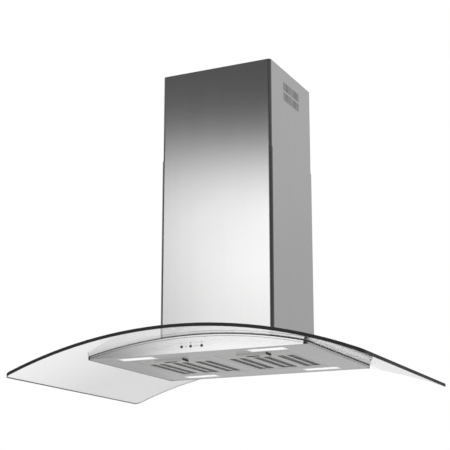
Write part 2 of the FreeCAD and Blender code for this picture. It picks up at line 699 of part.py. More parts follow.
def control_board():
    y = board_y()
    left = control_x(0) - BOARD_WIDTH / 2
    board = box(left, left + BOARD_WIDTH, y, y + BOARD_THICKNESS,
                CONTROL_HEIGHT - BOARD_HEIGHT / 2, CONTROL_HEIGHT + BOARD_HEIGHT / 2)
    switches = []
    for x in BUTTON_X.values():
        centre = control_x(x)
        half = SWITCH_SIZE / 2
        switches.append(box(centre - half, centre + half, y - SWITCH_HEIGHT, y,
                            CONTROL_HEIGHT - half, CONTROL_HEIGHT + half))
    return joined([board] + switches)


# ---- base, posts and ceiling plate --------------------------------------------------------------

def saddle_ring():
    """Moulded ring that evens out the bend of the glass."""
    frame = throat_frame(0, BASE_Z).cut(arch_cylinder(GLASS_TOP_RADIUS))
    return drilled(frame, GLASS_BOLT_HOLE, glass_bolt_places())


def base_plate():
    """Steel frame with two welded angles that the lower cover's front and rear walls are screwed to."""
    plate = drilled(throat_frame(BASE_Z, BASE_TOP), GLASS_BOLT_HOLE, glass_bolt_places())
    half = BRACKET_WIDTH / 2
    wall = LOWER_DEPTH / 2 - SHEET
    angles = []
    for side in SIDES:
        foot_y = sorted((CHIMNEY_Y + side * THROAT_DEPTH / 2, CHIMNEY_Y + side * wall))
        leg_y = sorted((CHIMNEY_Y + side * (wall - BRACKET_SHEET), CHIMNEY_Y + side * wall))
        angles.append(box(-half, half, foot_y[0], foot_y[1], BASE_TOP, BASE_TOP + BRACKET_SHEET))
        angles.append(box(-half, half, leg_y[0], leg_y[1], BASE_TOP, BASE_TOP + BRACKET_HEIGHT))
    return joined([plate] + angles)


def glass_bolts():
    """The bolts that clamp the glass, with their nuts below the deck."""
    bolts = []
    for x, y in glass_bolt_places():
        low = nut_top(x) - GLASS_NUT_HEIGHT - GLASS_BOLT_END
        shank = rod(GLASS_BOLT_DIAMETER, BASE_TOP - low, V(x, y, low))
        head = rod(GLASS_BOLT_HEAD_DIAMETER, GLASS_BOLT_HEAD_HEIGHT, V(x, y, BASE_TOP))
        socket = hexagon(GLASS_BOLT_DIAMETER / 2, GLASS_BOLT_HEAD_HEIGHT / 2, x, y,
                         BASE_TOP + GLASS_BOLT_HEAD_HEIGHT / 2)
        bolts.append(joined([shank, head]).cut(socket))
        bolts.append(glass_nut(x, y))
    return Part.makeCompound(bolts)


def nut_top(x):
    return arch_height(abs(x) + GLASS_NUT_WIDTH / 2, DECK_BOTTOM_RADIUS) - GLASS_NUT_CLEAR


def hexagon(across, height, x, y, z):
    radius = across / math.sqrt(3)
    points = [V(x + radius * math.cos(math.radians(60 * n)), y + radius * math.sin(math.radians(60 * n)), z)
              for n in range(7)]
    return Part.Face(Part.makePolygon(points)).extrude(V(0, 0, height))


def glass_nut(x, y):
    low = nut_top(x) - GLASS_NUT_HEIGHT
    nut = hexagon(GLASS_NUT_WIDTH, GLASS_NUT_HEIGHT, x, y, low)
    return nut.cut(rod(GLASS_BOLT_DIAMETER, GLASS_NUT_HEIGHT, V(x, y, low)))


def angle_post(sx, sy, inset, z0, z1, leg):
    """Angle profile in one corner of the chimney, its corner outwards."""
    x = sx * (POST_X - inset)
    y = CHIMNEY_Y + sy * (POST_Y - inset)
    along_x = box(min(x, x - sx * leg), max(x, x - sx * leg), min(y, y - sy * POST_SHEET),
                  max(y, y - sy * POST_SHEET), z0, z1)
    along_y = box(min(x, x - sx * POST_SHEET), max(x, x - sx * POST_SHEET), min(y, y - sy * leg),
                  max(y, y - sy * leg), z0, z1)
    return joined([along_x, along_y])


def post_screw_levels():
    middle = LOWER_POST_TOP - POST_OVERLAP / 2
    return [middle - POST_SCREW_PITCH / 2, middle + POST_SCREW_PITCH / 2]


def post_screw_holes(sx, sy):
    x = sx * (POST_X - POST_LEG / 2 - POST_SHEET)
    y = CHIMNEY_Y + sy * POST_Y
    inwards = V(0, -sy, 0)
    return [(V(x, y, z), inwards) for z in post_screw_levels()]


def lower_posts():
    posts = []
    for sx in SIDES:
        for sy in SIDES:
            post = angle_post(sx, sy, 0.0, BASE_TOP, LOWER_POST_TOP, POST_LEG)
            for start, inwards in post_screw_holes(sx, sy):
                post = post.cut(rod(POST_SCREW_DIAMETER, 2 * POST_SHEET, start, inwards))
            posts.append(post)
    return Part.makeCompound(posts)


def upper_posts():
    posts = []
    top = HOOD_HEIGHT - CEILING_PLATE
    for sx in SIDES:
        for sy in SIDES:
            post = angle_post(sx, sy, POST_SHEET, LOWER_POST_TOP - POST_OVERLAP, top, POST_LEG)
            for start, inwards in post_screw_holes(sx, sy):
                post = post.cut(rod(POST_SCREW_DIAMETER, 3 * POST_SHEET, start, inwards))
            posts.append(post)
    return Part.makeCompound(posts)


def post_screws():
    screws = []
    for sx in SIDES:
        for sy in SIDES:
            for start, inwards in post_screw_holes(sx, sy):
                shank = rod(POST_SCREW_DIAMETER, 2 * POST_SHEET + POST_SCREW_END, start, inwards)
                head = rod(POST_SCREW_HEAD, POST_SCREW_HEAD_HEIGHT, start, inwards.negative())
                screws.append(joined([shank, head]))
    return Part.makeCompound(screws)


def ceiling_plate():
    width = INNER_WIDTH - 2 * CEILING_PLATE_GAP
    depth = INNER_DEPTH - 2 * CEILING_PLATE_GAP
    low = HOOD_HEIGHT - CEILING_PLATE
    radius = CHIMNEY_CORNER_RADIUS - SHEET - CEILING_PLATE_GAP
    plate = rounded_block(width, depth, low, HOOD_HEIGHT, radius, 0.0, CHIMNEY_Y)
    plate = plate.cut(rod(DUCT_HOLE, CEILING_PLATE, V(0, CHIMNEY_Y, low)))
    plate = plate.cut(rod(CEILING_CABLE_HOLE, CEILING_PLATE, V(POWER_BOX_X, BLOWER_Y, low)))
    places = [(sx * CEILING_BOLT_SPACING_X / 2, CHIMNEY_Y + sy * CEILING_BOLT_SPACING_Y / 2)
              for sx in SIDES for sy in SIDES]
    return drilled(plate, CEILING_BOLT_HOLE, places)


# ---- chimney covers -----------------------------------------------------------------------------

def cover_tube(width, depth, radius, z0, z1):
    outside = rounded_block(width, depth, z0, z1, radius, 0.0, CHIMNEY_Y)
    inside = rounded_block(width - 2 * SHEET, depth - 2 * SHEET, z0, z1, radius - SHEET, 0.0, CHIMNEY_Y)
    return outside.cut(inside)


def lower_chimney():
    tube = cover_tube(LOWER_WIDTH, LOWER_DEPTH, LOWER_RADIUS, 0, LOWER_COVER_TOP)
    return tube.cut(arch_cylinder(GLASS_TOP_RADIUS + LOWER_COVER_GAP))


def vent_cuts():
    cuts = []
    top = COVER_TOP - VENT_TOP_OFFSET
    for row in range(VENT_ROWS):
        high = top - row * VENT_ROW_PITCH
        for column in range(VENT_COLUMNS):
            middle = CHIMNEY_Y + (column - (VENT_COLUMNS - 1) / 2) * VENT_COLUMN_PITCH
            for n in range(VENT_SLOTS):
                y = middle + (n - (VENT_SLOTS - 1) / 2) * VENT_PITCH
                cuts.append(box(-CHIMNEY_WIDTH, CHIMNEY_WIDTH, y - VENT_SLOT_WIDTH / 2,
                                y + VENT_SLOT_WIDTH / 2, high - VENT_SLOT_HEIGHT, high))
    return cuts


def upper_chimney():
    tube = cover_tube(CHIMNEY_WIDTH, CHIMNEY_DEPTH, CHIMNEY_CORNER_RADIUS,
                      LOWERED_FOOT + CHIMNEY_TRAVEL, COVER_TOP)
    return tube.cut(Part.makeCompound(vent_cuts()))


# ---- blower -------------------------------------------------------------------------------------

def scroll_outline(inset, x0, x1):
    """The scroll's drum and its duct up to the outlet, this far inside the outer faces."""
    front = CHIMNEY_Y - OUTLET_WIDTH / 2 + inset
    drum = rod(2 * (SCROLL_RADIUS - inset), x1 - x0, V(x0, BLOWER_Y, BLOWER_Z), X_AXIS)
    duct = box(x0, x1, front, front + OUTLET_WIDTH - 2 * inset, BLOWER_Z, OUTLET_Z)
    return joined([drum, duct])


def scroll_wrap():
    """Bent strip between the scroll's two side plates."""
    half = SCROLL_WIDTH / 2 - SCROLL_SHEET
    return scroll_outline(0, -half, half).cut(scroll_outline(SCROLL_SHEET, -half, half))


def scroll_sides():
    """Side plates of the scroll, each with an inlet."""
    half = SCROLL_WIDTH / 2
    inlets = rod(INLET_DIAMETER, SCROLL_WIDTH, V(-half, BLOWER_Y, BLOWER_Z), X_AXIS)
    plates = [scroll_outline(0, start, start + SCROLL_SHEET).cut(inlets)
              for start in (-half, half - SCROLL_SHEET)]
    return Part.makeCompound(plates)


def blade(angle):
    """One forward-curved blade between the two rims."""
    outer = IMPELLER_DIAMETER / 2 - BLADE_INSET
    inner = IMPELLER_INNER / 2 + BLADE_INSET
    half = IMPELLER_WIDTH / 2 - RIM_THICKNESS
    length = (outer - inner) / math.cos(math.radians(BLADE_ANGLE))
    plate = box(-half, half, -BLADE_THICKNESS / 2, BLADE_THICKNESS / 2, 0, length)
    plate.rotate(V(0, 0, 0), X_AXIS, BLADE_ANGLE)
    plate.translate(V(0, 0, inner))
    plate.rotate(V(0, 0, 0), X_AXIS, angle)
    plate.translate(V(0, BLOWER_Y, BLOWER_Z))
    return plate


def blower_impeller():
    """Hub, middle disc and the blades that pass through its slots."""
    start = V(DISC_X, BLOWER_Y, BLOWER_Z)
    blades = [blade(n * 360.0 / BLADE_COUNT) for n in range(BLADE_COUNT)]
    disc = ring(IMPELLER_DIAMETER, SHAFT_DIAMETER, DISC_THICKNESS, start, X_AXIS)
    disc = disc.cut(Part.makeCompound(blades))
    hub_start = start + V(DISC_THICKNESS, 0, 0)
    hub = ring(HUB_DIAMETER, SHAFT_DIAMETER, HUB_LENGTH - DISC_THICKNESS, hub_start, X_AXIS)
    return Part.makeCompound([disc, hub] + blades)


def impeller_rims():
    half = IMPELLER_WIDTH / 2
    rims = [ring(IMPELLER_DIAMETER, IMPELLER_INNER, RIM_THICKNESS, V(start, BLOWER_Y, BLOWER_Z), X_AXIS)
            for start in (-half, half - RIM_THICKNESS)]
    return Part.makeCompound(rims)


def motor_ends():
    inner = MOTOR_INNER_X
    outer = MOTOR_INNER_X - MOTOR_LENGTH
    return outer, inner


def motor():
    outer, inner = motor_ends()
    can = rod(MOTOR_DIAMETER, MOTOR_LENGTH, V(outer, BLOWER_Y, BLOWER_Z), X_AXIS)
    can = can.makeFillet(MOTOR_EDGE_FILLET, [edge for edge in can.Edges if edge.Closed])
    bosses = rod(MOTOR_BOSS_DIAMETER, MOTOR_LENGTH + 2 * MOTOR_BOSS,
                 V(outer - MOTOR_BOSS, BLOWER_Y, BLOWER_Z), X_AXIS)
    body = joined([can, bosses])
    length = MOTOR_LENGTH + 2 * MOTOR_BOSS
    body = body.cut(rod(MOTOR_BORE_DIAMETER, length, V(outer - MOTOR_BOSS, BLOWER_Y, BLOWER_Z), X_AXIS))
    for start in bush_starts():
        body = body.cut(rod(BUSH_DIAMETER, BUSH_LENGTH, V(start, BLOWER_Y, BLOWER_Z), X_AXIS))
    return body


def bush_starts():
    outer, inner = motor_ends()
    return (outer - MOTOR_BOSS, inner + MOTOR_BOSS - BUSH_LENGTH)


def motor_bushes():
    bore = SHAFT_DIAMETER + 2 * SHAFT_FIT
    bushes = [ring(BUSH_DIAMETER, bore, BUSH_LENGTH, V(start, BLOWER_Y, BLOWER_Z), X_AXIS)
              for start in bush_starts()]
    return Part.makeCompound(bushes)


def motor_shaft():
    outer, _ = motor_ends()
    start = outer - MOTOR_BOSS + SHAFT_RECESS
    end = DISC_X + HUB_LENGTH + SHAFT_END
    return rod(SHAFT_DIAMETER, end - start, V(start, BLOWER_Y, BLOWER_Z), X_AXIS)


def motor_bracket():
    """Ring on the scroll's side with arms to a collar round the motor."""
    start = V(-SCROLL_WIDTH / 2 - SPIDER_THICKNESS, BLOWER_Y, BLOWER_Z)
    rim = ring(SPIDER_RING_DIAMETER, INLET_DIAMETER, SPIDER_THICKNESS, start, X_AXIS)
    collar = ring(MOTOR_DIAMETER + 2 * SPIDER_COLLAR, MOTOR_DIAMETER, SPIDER_THICKNESS, start, X_AXIS)
    arms = []
    for n in range(SPIDER_ARMS):
        arm = box(start.x, start.x + SPIDER_THICKNESS, -SPIDER_ARM / 2, SPIDER_ARM / 2,
                  MOTOR_DIAMETER / 2 + 1, SPIDER_RING_DIAMETER / 2 - 1)
        arm.rotate(V(0, 0, 0), X_AXIS, 60 + n * 360.0 / SPIDER_ARMS)
        arm.translate(V(0, BLOWER_Y, BLOWER_Z))
        arms.append(arm)
    return joined([rim, collar] + arms)


def blower_rails():
    """Cross rails on the base plate, each with a saddle for the scroll."""
    rails = []
    scroll = rod(2 * SCROLL_RADIUS, SCROLL_WIDTH, V(-SCROLL_WIDTH / 2, BLOWER_Y, BLOWER_Z), X_AXIS)
    length = 2 * (POST_X - RAIL_END)
    for end in SIDES:
        y = BLOWER_Y + end * RAIL_SPACING / 2
        beam = block(length, RAIL_WIDTH, BASE_TOP, RAIL_TOP, 0.0, y)
        saddle = block(RAIL_SADDLE_WIDTH, RAIL_WIDTH, BASE_TOP, BASE_TOP + RAIL_SADDLE_HEIGHT, 0.0, y)
        rails.append(joined([beam, saddle]).cut(scroll))
    return Part.makeCompound(rails)


# ---- outlet -------------------------------------------------------------------------------------

def outlet_adapter():
    """Box on the scroll's outlet that carries the round collar."""
    case = block(ADAPTER_SIZE, ADAPTER_SIZE, OUTLET_Z, COLLAR_Z, 0.0, CHIMNEY_Y)
    inside = block(ADAPTER_SIZE - 2 * COLLAR_WALL, ADAPTER_SIZE - 2 * COLLAR_WALL, OUTLET_Z + COLLAR_WALL,
                   COLLAR_Z - COLLAR_WALL, 0.0, CHIMNEY_Y)
    inlet = block(SCROLL_WIDTH - 2 * SCROLL_SHEET, OUTLET_WIDTH - 2 * SCROLL_SHEET, OUTLET_Z,
                  OUTLET_Z + COLLAR_WALL, 0.0, CHIMNEY_Y)
    bore = COLLAR_DIAMETER - 2 * COLLAR_WALL
    outlet = rod(bore, COLLAR_WALL, V(0, CHIMNEY_Y, COLLAR_Z - COLLAR_WALL))
    return case.cut(inside).cut(inlet).cut(outlet)


def outlet_collar():
    bore = COLLAR_DIAMETER - 2 * COLLAR_WALL
    collar = ring(COLLAR_DIAMETER, bore, COLLAR_HEIGHT, V(0, CHIMNEY_Y, COLLAR_Z))
    top = PIN_Z - FLAP_THICKNESS / 2 - FLAP_REST_GAP
    ledge = ring(bore, bore - 2 * FLAP_STOP, FLAP_STOP, V(0, CHIMNEY_Y, top - FLAP_STOP))
    ledge = ledge.cut(block(bore, KNUCKLE_DIAMETER + 2 * KNUCKLE_GAP, top - FLAP_STOP, top, 0.0, CHIMNEY_Y))
    return joined([collar, ledge]).cut(damper_pin())


def damper_pin():
    return rod(FLAP_PIN_DIAMETER, COLLAR_DIAMETER, V(-COLLAR_DIAMETER / 2, CHIMNEY_Y, PIN_Z), X_AXIS)


def damper_flap(sy, knuckles):
    """Half disc that hangs on the pin by its knuckles and lifts in the air stream."""
    radius = COLLAR_DIAMETER / 2 - COLLAR_WALL - FLAP_RIM_GAP
    disc = rod(2 * radius, FLAP_THICKNESS, V(0, CHIMNEY_Y, PIN_Z - FLAP_THICKNESS / 2))
    low = PIN_Z - FLAP_THICKNESS / 2
    high = PIN_Z + FLAP_THICKNESS / 2
    leaf_edge = CHIMNEY_Y + sy * (KNUCKLE_DIAMETER / 2 + KNUCKLE_GAP)
    leaf_y = sorted((leaf_edge, leaf_edge + sy * radius))
    pieces = [disc.common(box(-radius, radius, leaf_y[0], leaf_y[1], low, high))]
    for x0, x1 in knuckles:
        pieces.append(rod(KNUCKLE_DIAMETER, x1 - x0, V(x0, CHIMNEY_Y, PIN_Z), X_AXIS))
        web_y = sorted((CHIMNEY_Y, leaf_edge + sy * FLAP_THICKNESS))
        pieces.append(box(x0, x1, web_y[0], web_y[1], low, high))
    bore = FLAP_PIN_DIAMETER + 2 * FLAP_PIN_FIT
    return joined(pieces).cut(rod(bore, COLLAR_DIAMETER, V(-COLLAR_DIAMETER / 2, CHIMNEY_Y, PIN_Z), X_AXIS))


# ---- electrics ----------------------------------------------------------------------------------

def power_box():
    case = block(POWER_BOX_WIDTH, POWER_BOX_DEPTH, RAIL_TOP, RAIL_TOP + POWER_BOX_HEIGHT,
                 POWER_BOX_X, BLOWER_Y)
    inside = block(POWER_BOX_WIDTH - 2 * POWER_BOX_WALL, POWER_BOX_DEPTH - 2 * POWER_BOX_WALL,
                   RAIL_TOP + POWER_BOX_WALL, RAIL_TOP + POWER_BOX_HEIGHT, POWER_BOX_X, BLOWER_Y)
    return case.cut(inside)


def power_box_lid():
    low = RAIL_TOP + POWER_BOX_HEIGHT
    lid = block(POWER_BOX_WIDTH, POWER_BOX_DEPTH, low, low + POWER_LID, POWER_BOX_X, BLOWER_Y)
    return lid.cut(rod(GLAND_DIAMETER, POWER_LID, V(POWER_BOX_X, BLOWER_Y, low)))


def power_board():
    low = RAIL_TOP + POWER_BOX_WALL
    board = block(POWER_BOX_WIDTH - 2 * POWER_BOX_WALL, POWER_BOX_DEPTH - 2 * POWER_BOX_WALL,
                  low, low + BOARD_THICKNESS, POWER_BOX_X, BLOWER_Y)
    parts = [board]
    top = low + BOARD_THICKNESS
    for end, height in zip(SIDES, (TRANSFORMER_HEIGHT, RELAY_HEIGHT)):
        parts.append(block(POWER_PART_WIDTH, POWER_PART_DEPTH, top, top + height,
                           POWER_BOX_X, BLOWER_Y + end * POWER_PART_OFFSET))
    return joined(parts)


def cable_gland():
    low = RAIL_TOP + POWER_BOX_HEIGHT
    body = rod(GLAND_DIAMETER, GLAND_HEIGHT + POWER_LID, V(POWER_BOX_X, BLOWER_Y, low))
    nut = hexagon(GLAND_NUT, GLAND_NUT_HEIGHT, POWER_BOX_X, BLOWER_Y, low + POWER_LID)
    bore = rod(GLAND_BORE, GLAND_HEIGHT + POWER_LID, V(POWER_BOX_X, BLOWER_Y, low))
    return joined([body, nut]).cut(bore)


def run_capacitor():
    z = RAIL_TOP + CAPACITOR_DIAMETER / 2
    start = V(CAPACITOR_X, BLOWER_Y - CAPACITOR_LENGTH / 2, z)
    can = rod(CAPACITOR_DIAMETER, CAPACITOR_LENGTH, start, Y_AXIS)
    can = can.makeFillet(CAPACITOR_EDGE_FILLET, [edge for edge in can.Edges if edge.Closed])
    stud = rod(CAPACITOR_STUD_DIAMETER, 2 * CAPACITOR_STUD, start - V(0, CAPACITOR_STUD, 0), Y_AXIS)
    return joined([can, stud])


# ---- all nodes ----------------------------------------------------------------------------------

def build():
    parts = {
        "glass_canopy": glass_canopy(),
        "perimeter_gasket": perimeter_gasket(),
        "throat_gasket": throat_gasket(),
        "top_deck": top_deck(),
        "front_fascia": front_fascia(),
        "canopy_band": canopy_band(),
        "underside_panel": underside_panel(),
        "lamp_boards": lamp_boards(),
        "lamp_driver": lamp_driver(),
        "control_guide": control_guide(),
        "control_board": control_board(),
        "power_light": power_light(),
        "speed_lights": speed_lights(),
        "saddle_ring": saddle_ring(),
        "base_plate": base_plate(),
        "glass_bolts": glass_bolts(),
        "lower_posts": lower_posts(),
        "upper_posts": upper_posts(),
        "post_screws": post_screws(),
        "ceiling_plate": ceiling_plate(),
        "lower_chimney": lower_chimney(),
        "upper_chimney": upper_chimney(),
        "scroll_wrap": scroll_wrap(),
        "scroll_sides": scroll_sides(),
        "blower_impeller": blower_impeller(),
        "impeller_rims": impeller_rims(),
        "blower_rails": blower_rails(),
        "motor": motor(),
        "motor_bushes": motor_bushes(),
        "motor_shaft": motor_shaft(),
        "motor_bracket": motor_bracket(),
        "outlet_adapter": outlet_adapter(),
        "outlet_collar": outlet_collar(),
        "damper_pin": damper_pin(),
        "damper_flap_front": damper_flap(-1, FRONT_KNUCKLES),
        "damper_flap_rear": damper_flap(1, REAR_KNUCKLES),
        "power_box": power_box(),
        "power_box_lid": power_box_lid(),
        "power_board": power_board(),
        "cable_gland": cable_gland(),
        "run_capacitor": run_capacitor(),
    }
    for side, name in ((-1, "left"), (1, "right")):
        parts["grease_filter_" + name] = grease_filter(side)
        parts["filter_mesh_" + name] = filter_mesh(side)
        parts["filter_pull_" + name] = filter_pull(side)
        parts["filter_grip_" + name] = filter_grip(side)
    for name, (x, y) in lamp_places().items():
        parts["lamp_lens_" + name] = lamp_lens(x, y)
        parts["lamp_housing_" + name] = lamp_housing(x, y)
    for name, x in BUTTON_X.items():
        parts["button_" + name] = button(x)
    return parts


def main():
    os.makedirs("parts", exist_ok=True)
    for name, shape in sorted(build().items()):
        shape.translate(ORIGIN_SHIFT)
        shape.exportStep("parts/" + name + ".step")
        print(name, len(shape.Solids), "solid(s)", round(shape.Volume / 1000, 2), "cm3", shape.isValid())


main()
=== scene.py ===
"""Looks of the curved glass range hood: camera, studio, materials and the fine pieces the CAD leaves out."""

import math

import bmesh
import bpy
from mathutils import Matrix, Vector


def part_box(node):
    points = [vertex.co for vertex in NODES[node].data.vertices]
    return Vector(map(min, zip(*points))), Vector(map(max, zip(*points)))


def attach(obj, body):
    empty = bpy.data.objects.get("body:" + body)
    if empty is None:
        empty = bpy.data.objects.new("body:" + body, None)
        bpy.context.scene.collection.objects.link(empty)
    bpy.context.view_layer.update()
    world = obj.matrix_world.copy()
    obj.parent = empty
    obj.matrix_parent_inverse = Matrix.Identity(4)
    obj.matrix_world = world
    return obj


MM = 0.001

# Camera, fitted to the photograph.
CAMERA_PLACE = (1.2749, -2.7414, -1.1802)
CAMERA_PITCH = 0.2471
CAMERA_YAW = 0.4466
CAMERA_LENS = 97.52
CAMERA_SHIFT_Y = 0.03

# What polished metal sees: (degrees, brightness) by bearing from straight ahead, positive to the hood's
# right, and by height over the horizon. Walls and ceiling are the room; panel, glow and rear are lights
# that add to it, and the screen takes its share of the walls away.
WALL_BY_BEARING = [(-180, 0.58), (-154, 0.52), (-120, 0.56), (-90, 0.5), (-60, 0.38), (-45, 0.24),
                   (-36, 0.11), (0, 0.11), (12, 0.25), (25, 0.35), (60, 0.35), (80, 0.45), (100, 0.55),
                   (125, 0.6), (153, 0.6), (180, 0.58)]
WALL_BY_HEIGHT = [(-90, 1.4), (-20, 1.4), (-14, 0.85), (-9.5, 0.82), (-6, 1.05), (0, 1.0), (7, 0.86),
                  (12, 0.93), (18, 1.0), (30, 1.0), (45, 0.4), (90, 0.0)]
CEILING_BY_HEIGHT = [(-90, 0.0), (24, 0.0), (36, 0.28), (60, 0.55), (90, 0.6)]
PANEL_BY_BEARING = [(-60, 0.0), (-35, 0.0), (-32, 0.05), (-30.7, 0.24), (-29.8, 0.48), (-28.5, 0.8),
                    (-27.4, 0.94), (-26, 1.0), (-23.5, 0.96), (-10, 0.96), (2, 0.5), (12, 0.1), (18, 0.0)]
PANEL_BY_HEIGHT = [(-40, 0.0), (-30, 0.15), (-19, 0.2), (-14, 0.7), (-11, 0.85), (10, 0.85), (13, 1.0),
                   (15.5, 1.0), (20.1, 0.0)]
PANEL_LEVEL = 1.72
GLOW_BY_BEARING = [(-180, 0.0), (142, 0.0), (151, 1.0), (171, 1.0), (179, 0.0)]
GLOW_BY_HEIGHT = [(-21, 0.0), (-16.5, 0.3), (-12, 0.3), (-6, 0.2), (0, 0.7), (1.5, 1.0), (4, 1.0), (6, 0.0)]
GLOW_LEVEL = 1.45
REAR_BY_BEARING = [(-178, 0.0), (-169, 1.0), (-148, 1.0), (-138, 0.0)]
REAR_BY_HEIGHT = [(-5.5, 0.0), (-3.6, 1.0), (-1, 1.0), (2, 0.5), (12, 0.5), (17, 0.0)]
REAR_LEVEL = 0.8
SCREEN_BY_BEARING = [(-96, 0.0), (-82, 0.7), (-50, 0.75), (-40, 0.1), (-36, 0.0), (-21, 0.0), (-12, 0.4),
                     (0, 0.74), (10, 0.8), (108, 0.8), (128, 0.7), (141, 0.25), (149, 0.0)]
SCREEN_BY_HEIGHT = [(4, 0.0), (9, 1.0), (16.5, 1.0), (21, 0.9), (28, 0.85), (36, 0.0)]

# The plain white light that everything but polished metal gets, and the one lamp.
PLAIN_LEVEL = 0.9
KEY_PLACE = (-2.2, -2.6, 1.9)
KEY_AIM = (0, 0, -0.4)
KEY_SIZE = 2.2
KEY_WATTS = 45

# Floor, in metres.
FLOOR_Z = -2.35
FLOOR_RADIUS = 14.0
FLOOR_FADE = (2.0, 9.0)

# Glass tint at the front and the painted shade that darkens it to behind the middle, with the places (Y, in
# metres) where the painted shade starts and ends.
GLASS_PAINTED_SHADE_Y = (-0.38, -0.02)
GLASS_FRONT_TINT = (0.955, 0.961, 0.958)
GLASS_REAR_TINT_WITH_PAINTED_SHADE = (0.72, 0.727, 0.724)
GLASS_RIM_ROUGHNESS = 0.6

# Where a lamp cover's glow starts to dim and its painted shade starts to darken it, in shares of its width
# and depth from its middle.
LENS_DIM_AND_SHADE_FROM = (0.4, 0.28)

# Sizes of the hood that the fine pieces need: those multiplied by MM in metres, the others in millimetres.
HOOD_HEIGHT = 746.0
CHIMNEY_SETBACK = 38.0
GLASS_CROWN = 49.3
GLASS_RADIUS = 1216.0
ARCH_CENTRE_Z = (GLASS_CROWN - GLASS_RADIUS - HOOD_HEIGHT) * MM
BEAD_WIDTH = 1.4 * MM
BEAD_RADIUS = (GLASS_RADIUS - 8.0 - 2.0 - 3.2) * MM - BEAD_WIDTH / 2
FASCIA_Y = -216.0
BUTTON_X = (-28.0, -4.5, 24.0)
POWER_LIGHT_X = -16.0
SPEED_LIGHT_X = (4.5, 9.5, 14.5)
MARK_Z = 22.5
MARK_PROUD = 0.06
MARK_LINE = 0.42
MARK_FINE_LINE = 0.35
MARK_BOLD_LINE = 0.6
MARK_BAR = 0.7
STRAND_PITCH = 6.0 * MM
STRAND_WIDTH = 1.1 * MM
STRAND_THICKNESS = 0.3 * MM
STRAND_CLEAR = 0.15 * MM
STRAND_ANGLE = math.radians(34)
STRANDS_EACH_WAY = 60
SCREW_PROFILE = [(3.6, 0.0), (3.6, 0.5), (3.348, 1.0), (2.592, 1.45), (1.44, 1.7), (0.05, 1.8)]
SCREW_SIDES = 28
RECESS_HALF_LENGTH = 1.98
RECESS_HALF_WIDTH = 0.45
RECESS_FLOOR = 0.9
LOW_SCREW_Z = 80.0
TOP_SCREW_Z = 728.0
SCREW_X = 60.0
SEAM_WIDTH = 12.0
SEAM_PROUD = 0.4
UPPER_SEAM = (520, 744)
LOWER_SEAM = (62, 515)

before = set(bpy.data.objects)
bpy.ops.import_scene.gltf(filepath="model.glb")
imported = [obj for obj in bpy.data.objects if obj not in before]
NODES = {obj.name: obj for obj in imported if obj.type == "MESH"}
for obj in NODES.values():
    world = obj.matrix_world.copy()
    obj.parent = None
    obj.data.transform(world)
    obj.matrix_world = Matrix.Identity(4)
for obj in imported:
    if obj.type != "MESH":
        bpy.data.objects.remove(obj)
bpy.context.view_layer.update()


# ---------------------------------------------------------------- node helpers

def new_material(name):
    """Material with its node tree and its Principled shader."""
    material = bpy.data.materials.new(name)
    material.use_nodes = True
    tree = material.node_tree
    return material, tree, tree.nodes["Principled BSDF"]


def add(tree, kind, **values):
    """Node of this kind with these settings."""
    node = tree.nodes.new(kind)
    for key, value in values.items():
        setattr(node, key, value)
    return node


def math_node(tree, operation, a, b=None):
    """Result of a math node on numbers or outputs."""
    node = add(tree, "ShaderNodeMath", operation=operation)
    for socket, value in zip(node.inputs, (a, b)):
        if value is None:
            continue
        if isinstance(value, (int, float)):
            socket.default_value = value
        else:
            tree.links.new(value, socket)
    return node.outputs[0]


def map_range(tree, value, from_low, from_high, to_low, to_high, smooth=False):
    """Value carried over from one range to another, held at its ends."""
    node = add(tree, "ShaderNodeMapRange", interpolation_type="SMOOTHSTEP" if smooth else "LINEAR")
    tree.links.new(value, node.inputs["Value"])
    ends = {"From Min": from_low, "From Max": from_high, "To Min": to_low, "To Max": to_high}
    for name, number in ends.items():
        node.inputs[name].default_value = number
    return node.outputs["Result"]


def mix_colour(tree, factor, a, b):
    """Colour that goes from a to b with the factor."""
    node = add(tree, "ShaderNodeMix", data_type="RGBA")
    for socket, value in ((node.inputs[0], factor), (node.inputs[6], a), (node.inputs[7], b)):
        if isinstance(value, (int, float)):
            socket.default_value = value
        elif isinstance(value, tuple):
            socket.default_value = (*value, 1)
        else:
            tree.links.new(value, socket)
    return node.outputs[2]


def blended(tree, a, share_a, b, share_b):
    """Sum of two values, each taken by its share."""
    return math_node(tree, "ADD", math_node(tree, "MULTIPLY", a, share_a),
                     math_node(tree, "MULTIPLY", b, share_b))


def place(tree, stretch=(1, 1, 1), turn=(0, 0, 0)):
    """Object coordinates in metres, stretched and turned."""
    coordinates = add(tree, "ShaderNodeTexCoord")
    mapping = add(tree, "ShaderNodeMapping")
    mapping.inputs["Scale"].default_value = stretch
    mapping.inputs["Rotation"].default_value = turn
    tree.links.new(coordinates.outputs["Object"], mapping.inputs["Vector"])
    return mapping.outputs["Vector"]


def noise(tree, vector, scale, detail=4.0, rough=0.55):
    """Cloudy value from 0 to 1."""
    node = add(tree, "ShaderNodeTexNoise")
    node.inputs["Scale"].default_value = scale
    node.inputs["Detail"].default_value = detail
    node.inputs["Roughness"].default_value = rough
    tree.links.new(vector, node.inputs["Vector"])
    return node.outputs["Fac"]


def bump(tree, shader, height, distance, strength=1.0):
    """Relief of this height in metres on the shader's surface."""
    node = add(tree, "ShaderNodeBump")
    node.inputs["Distance"].default_value = distance
    node.inputs["Strength"].default_value = strength
    tree.links.new(height, node.inputs["Height"])
    tree.links.new(node.outputs["Normal"], shader.inputs["Normal"])


# ---------------------------------------------------------------- materials

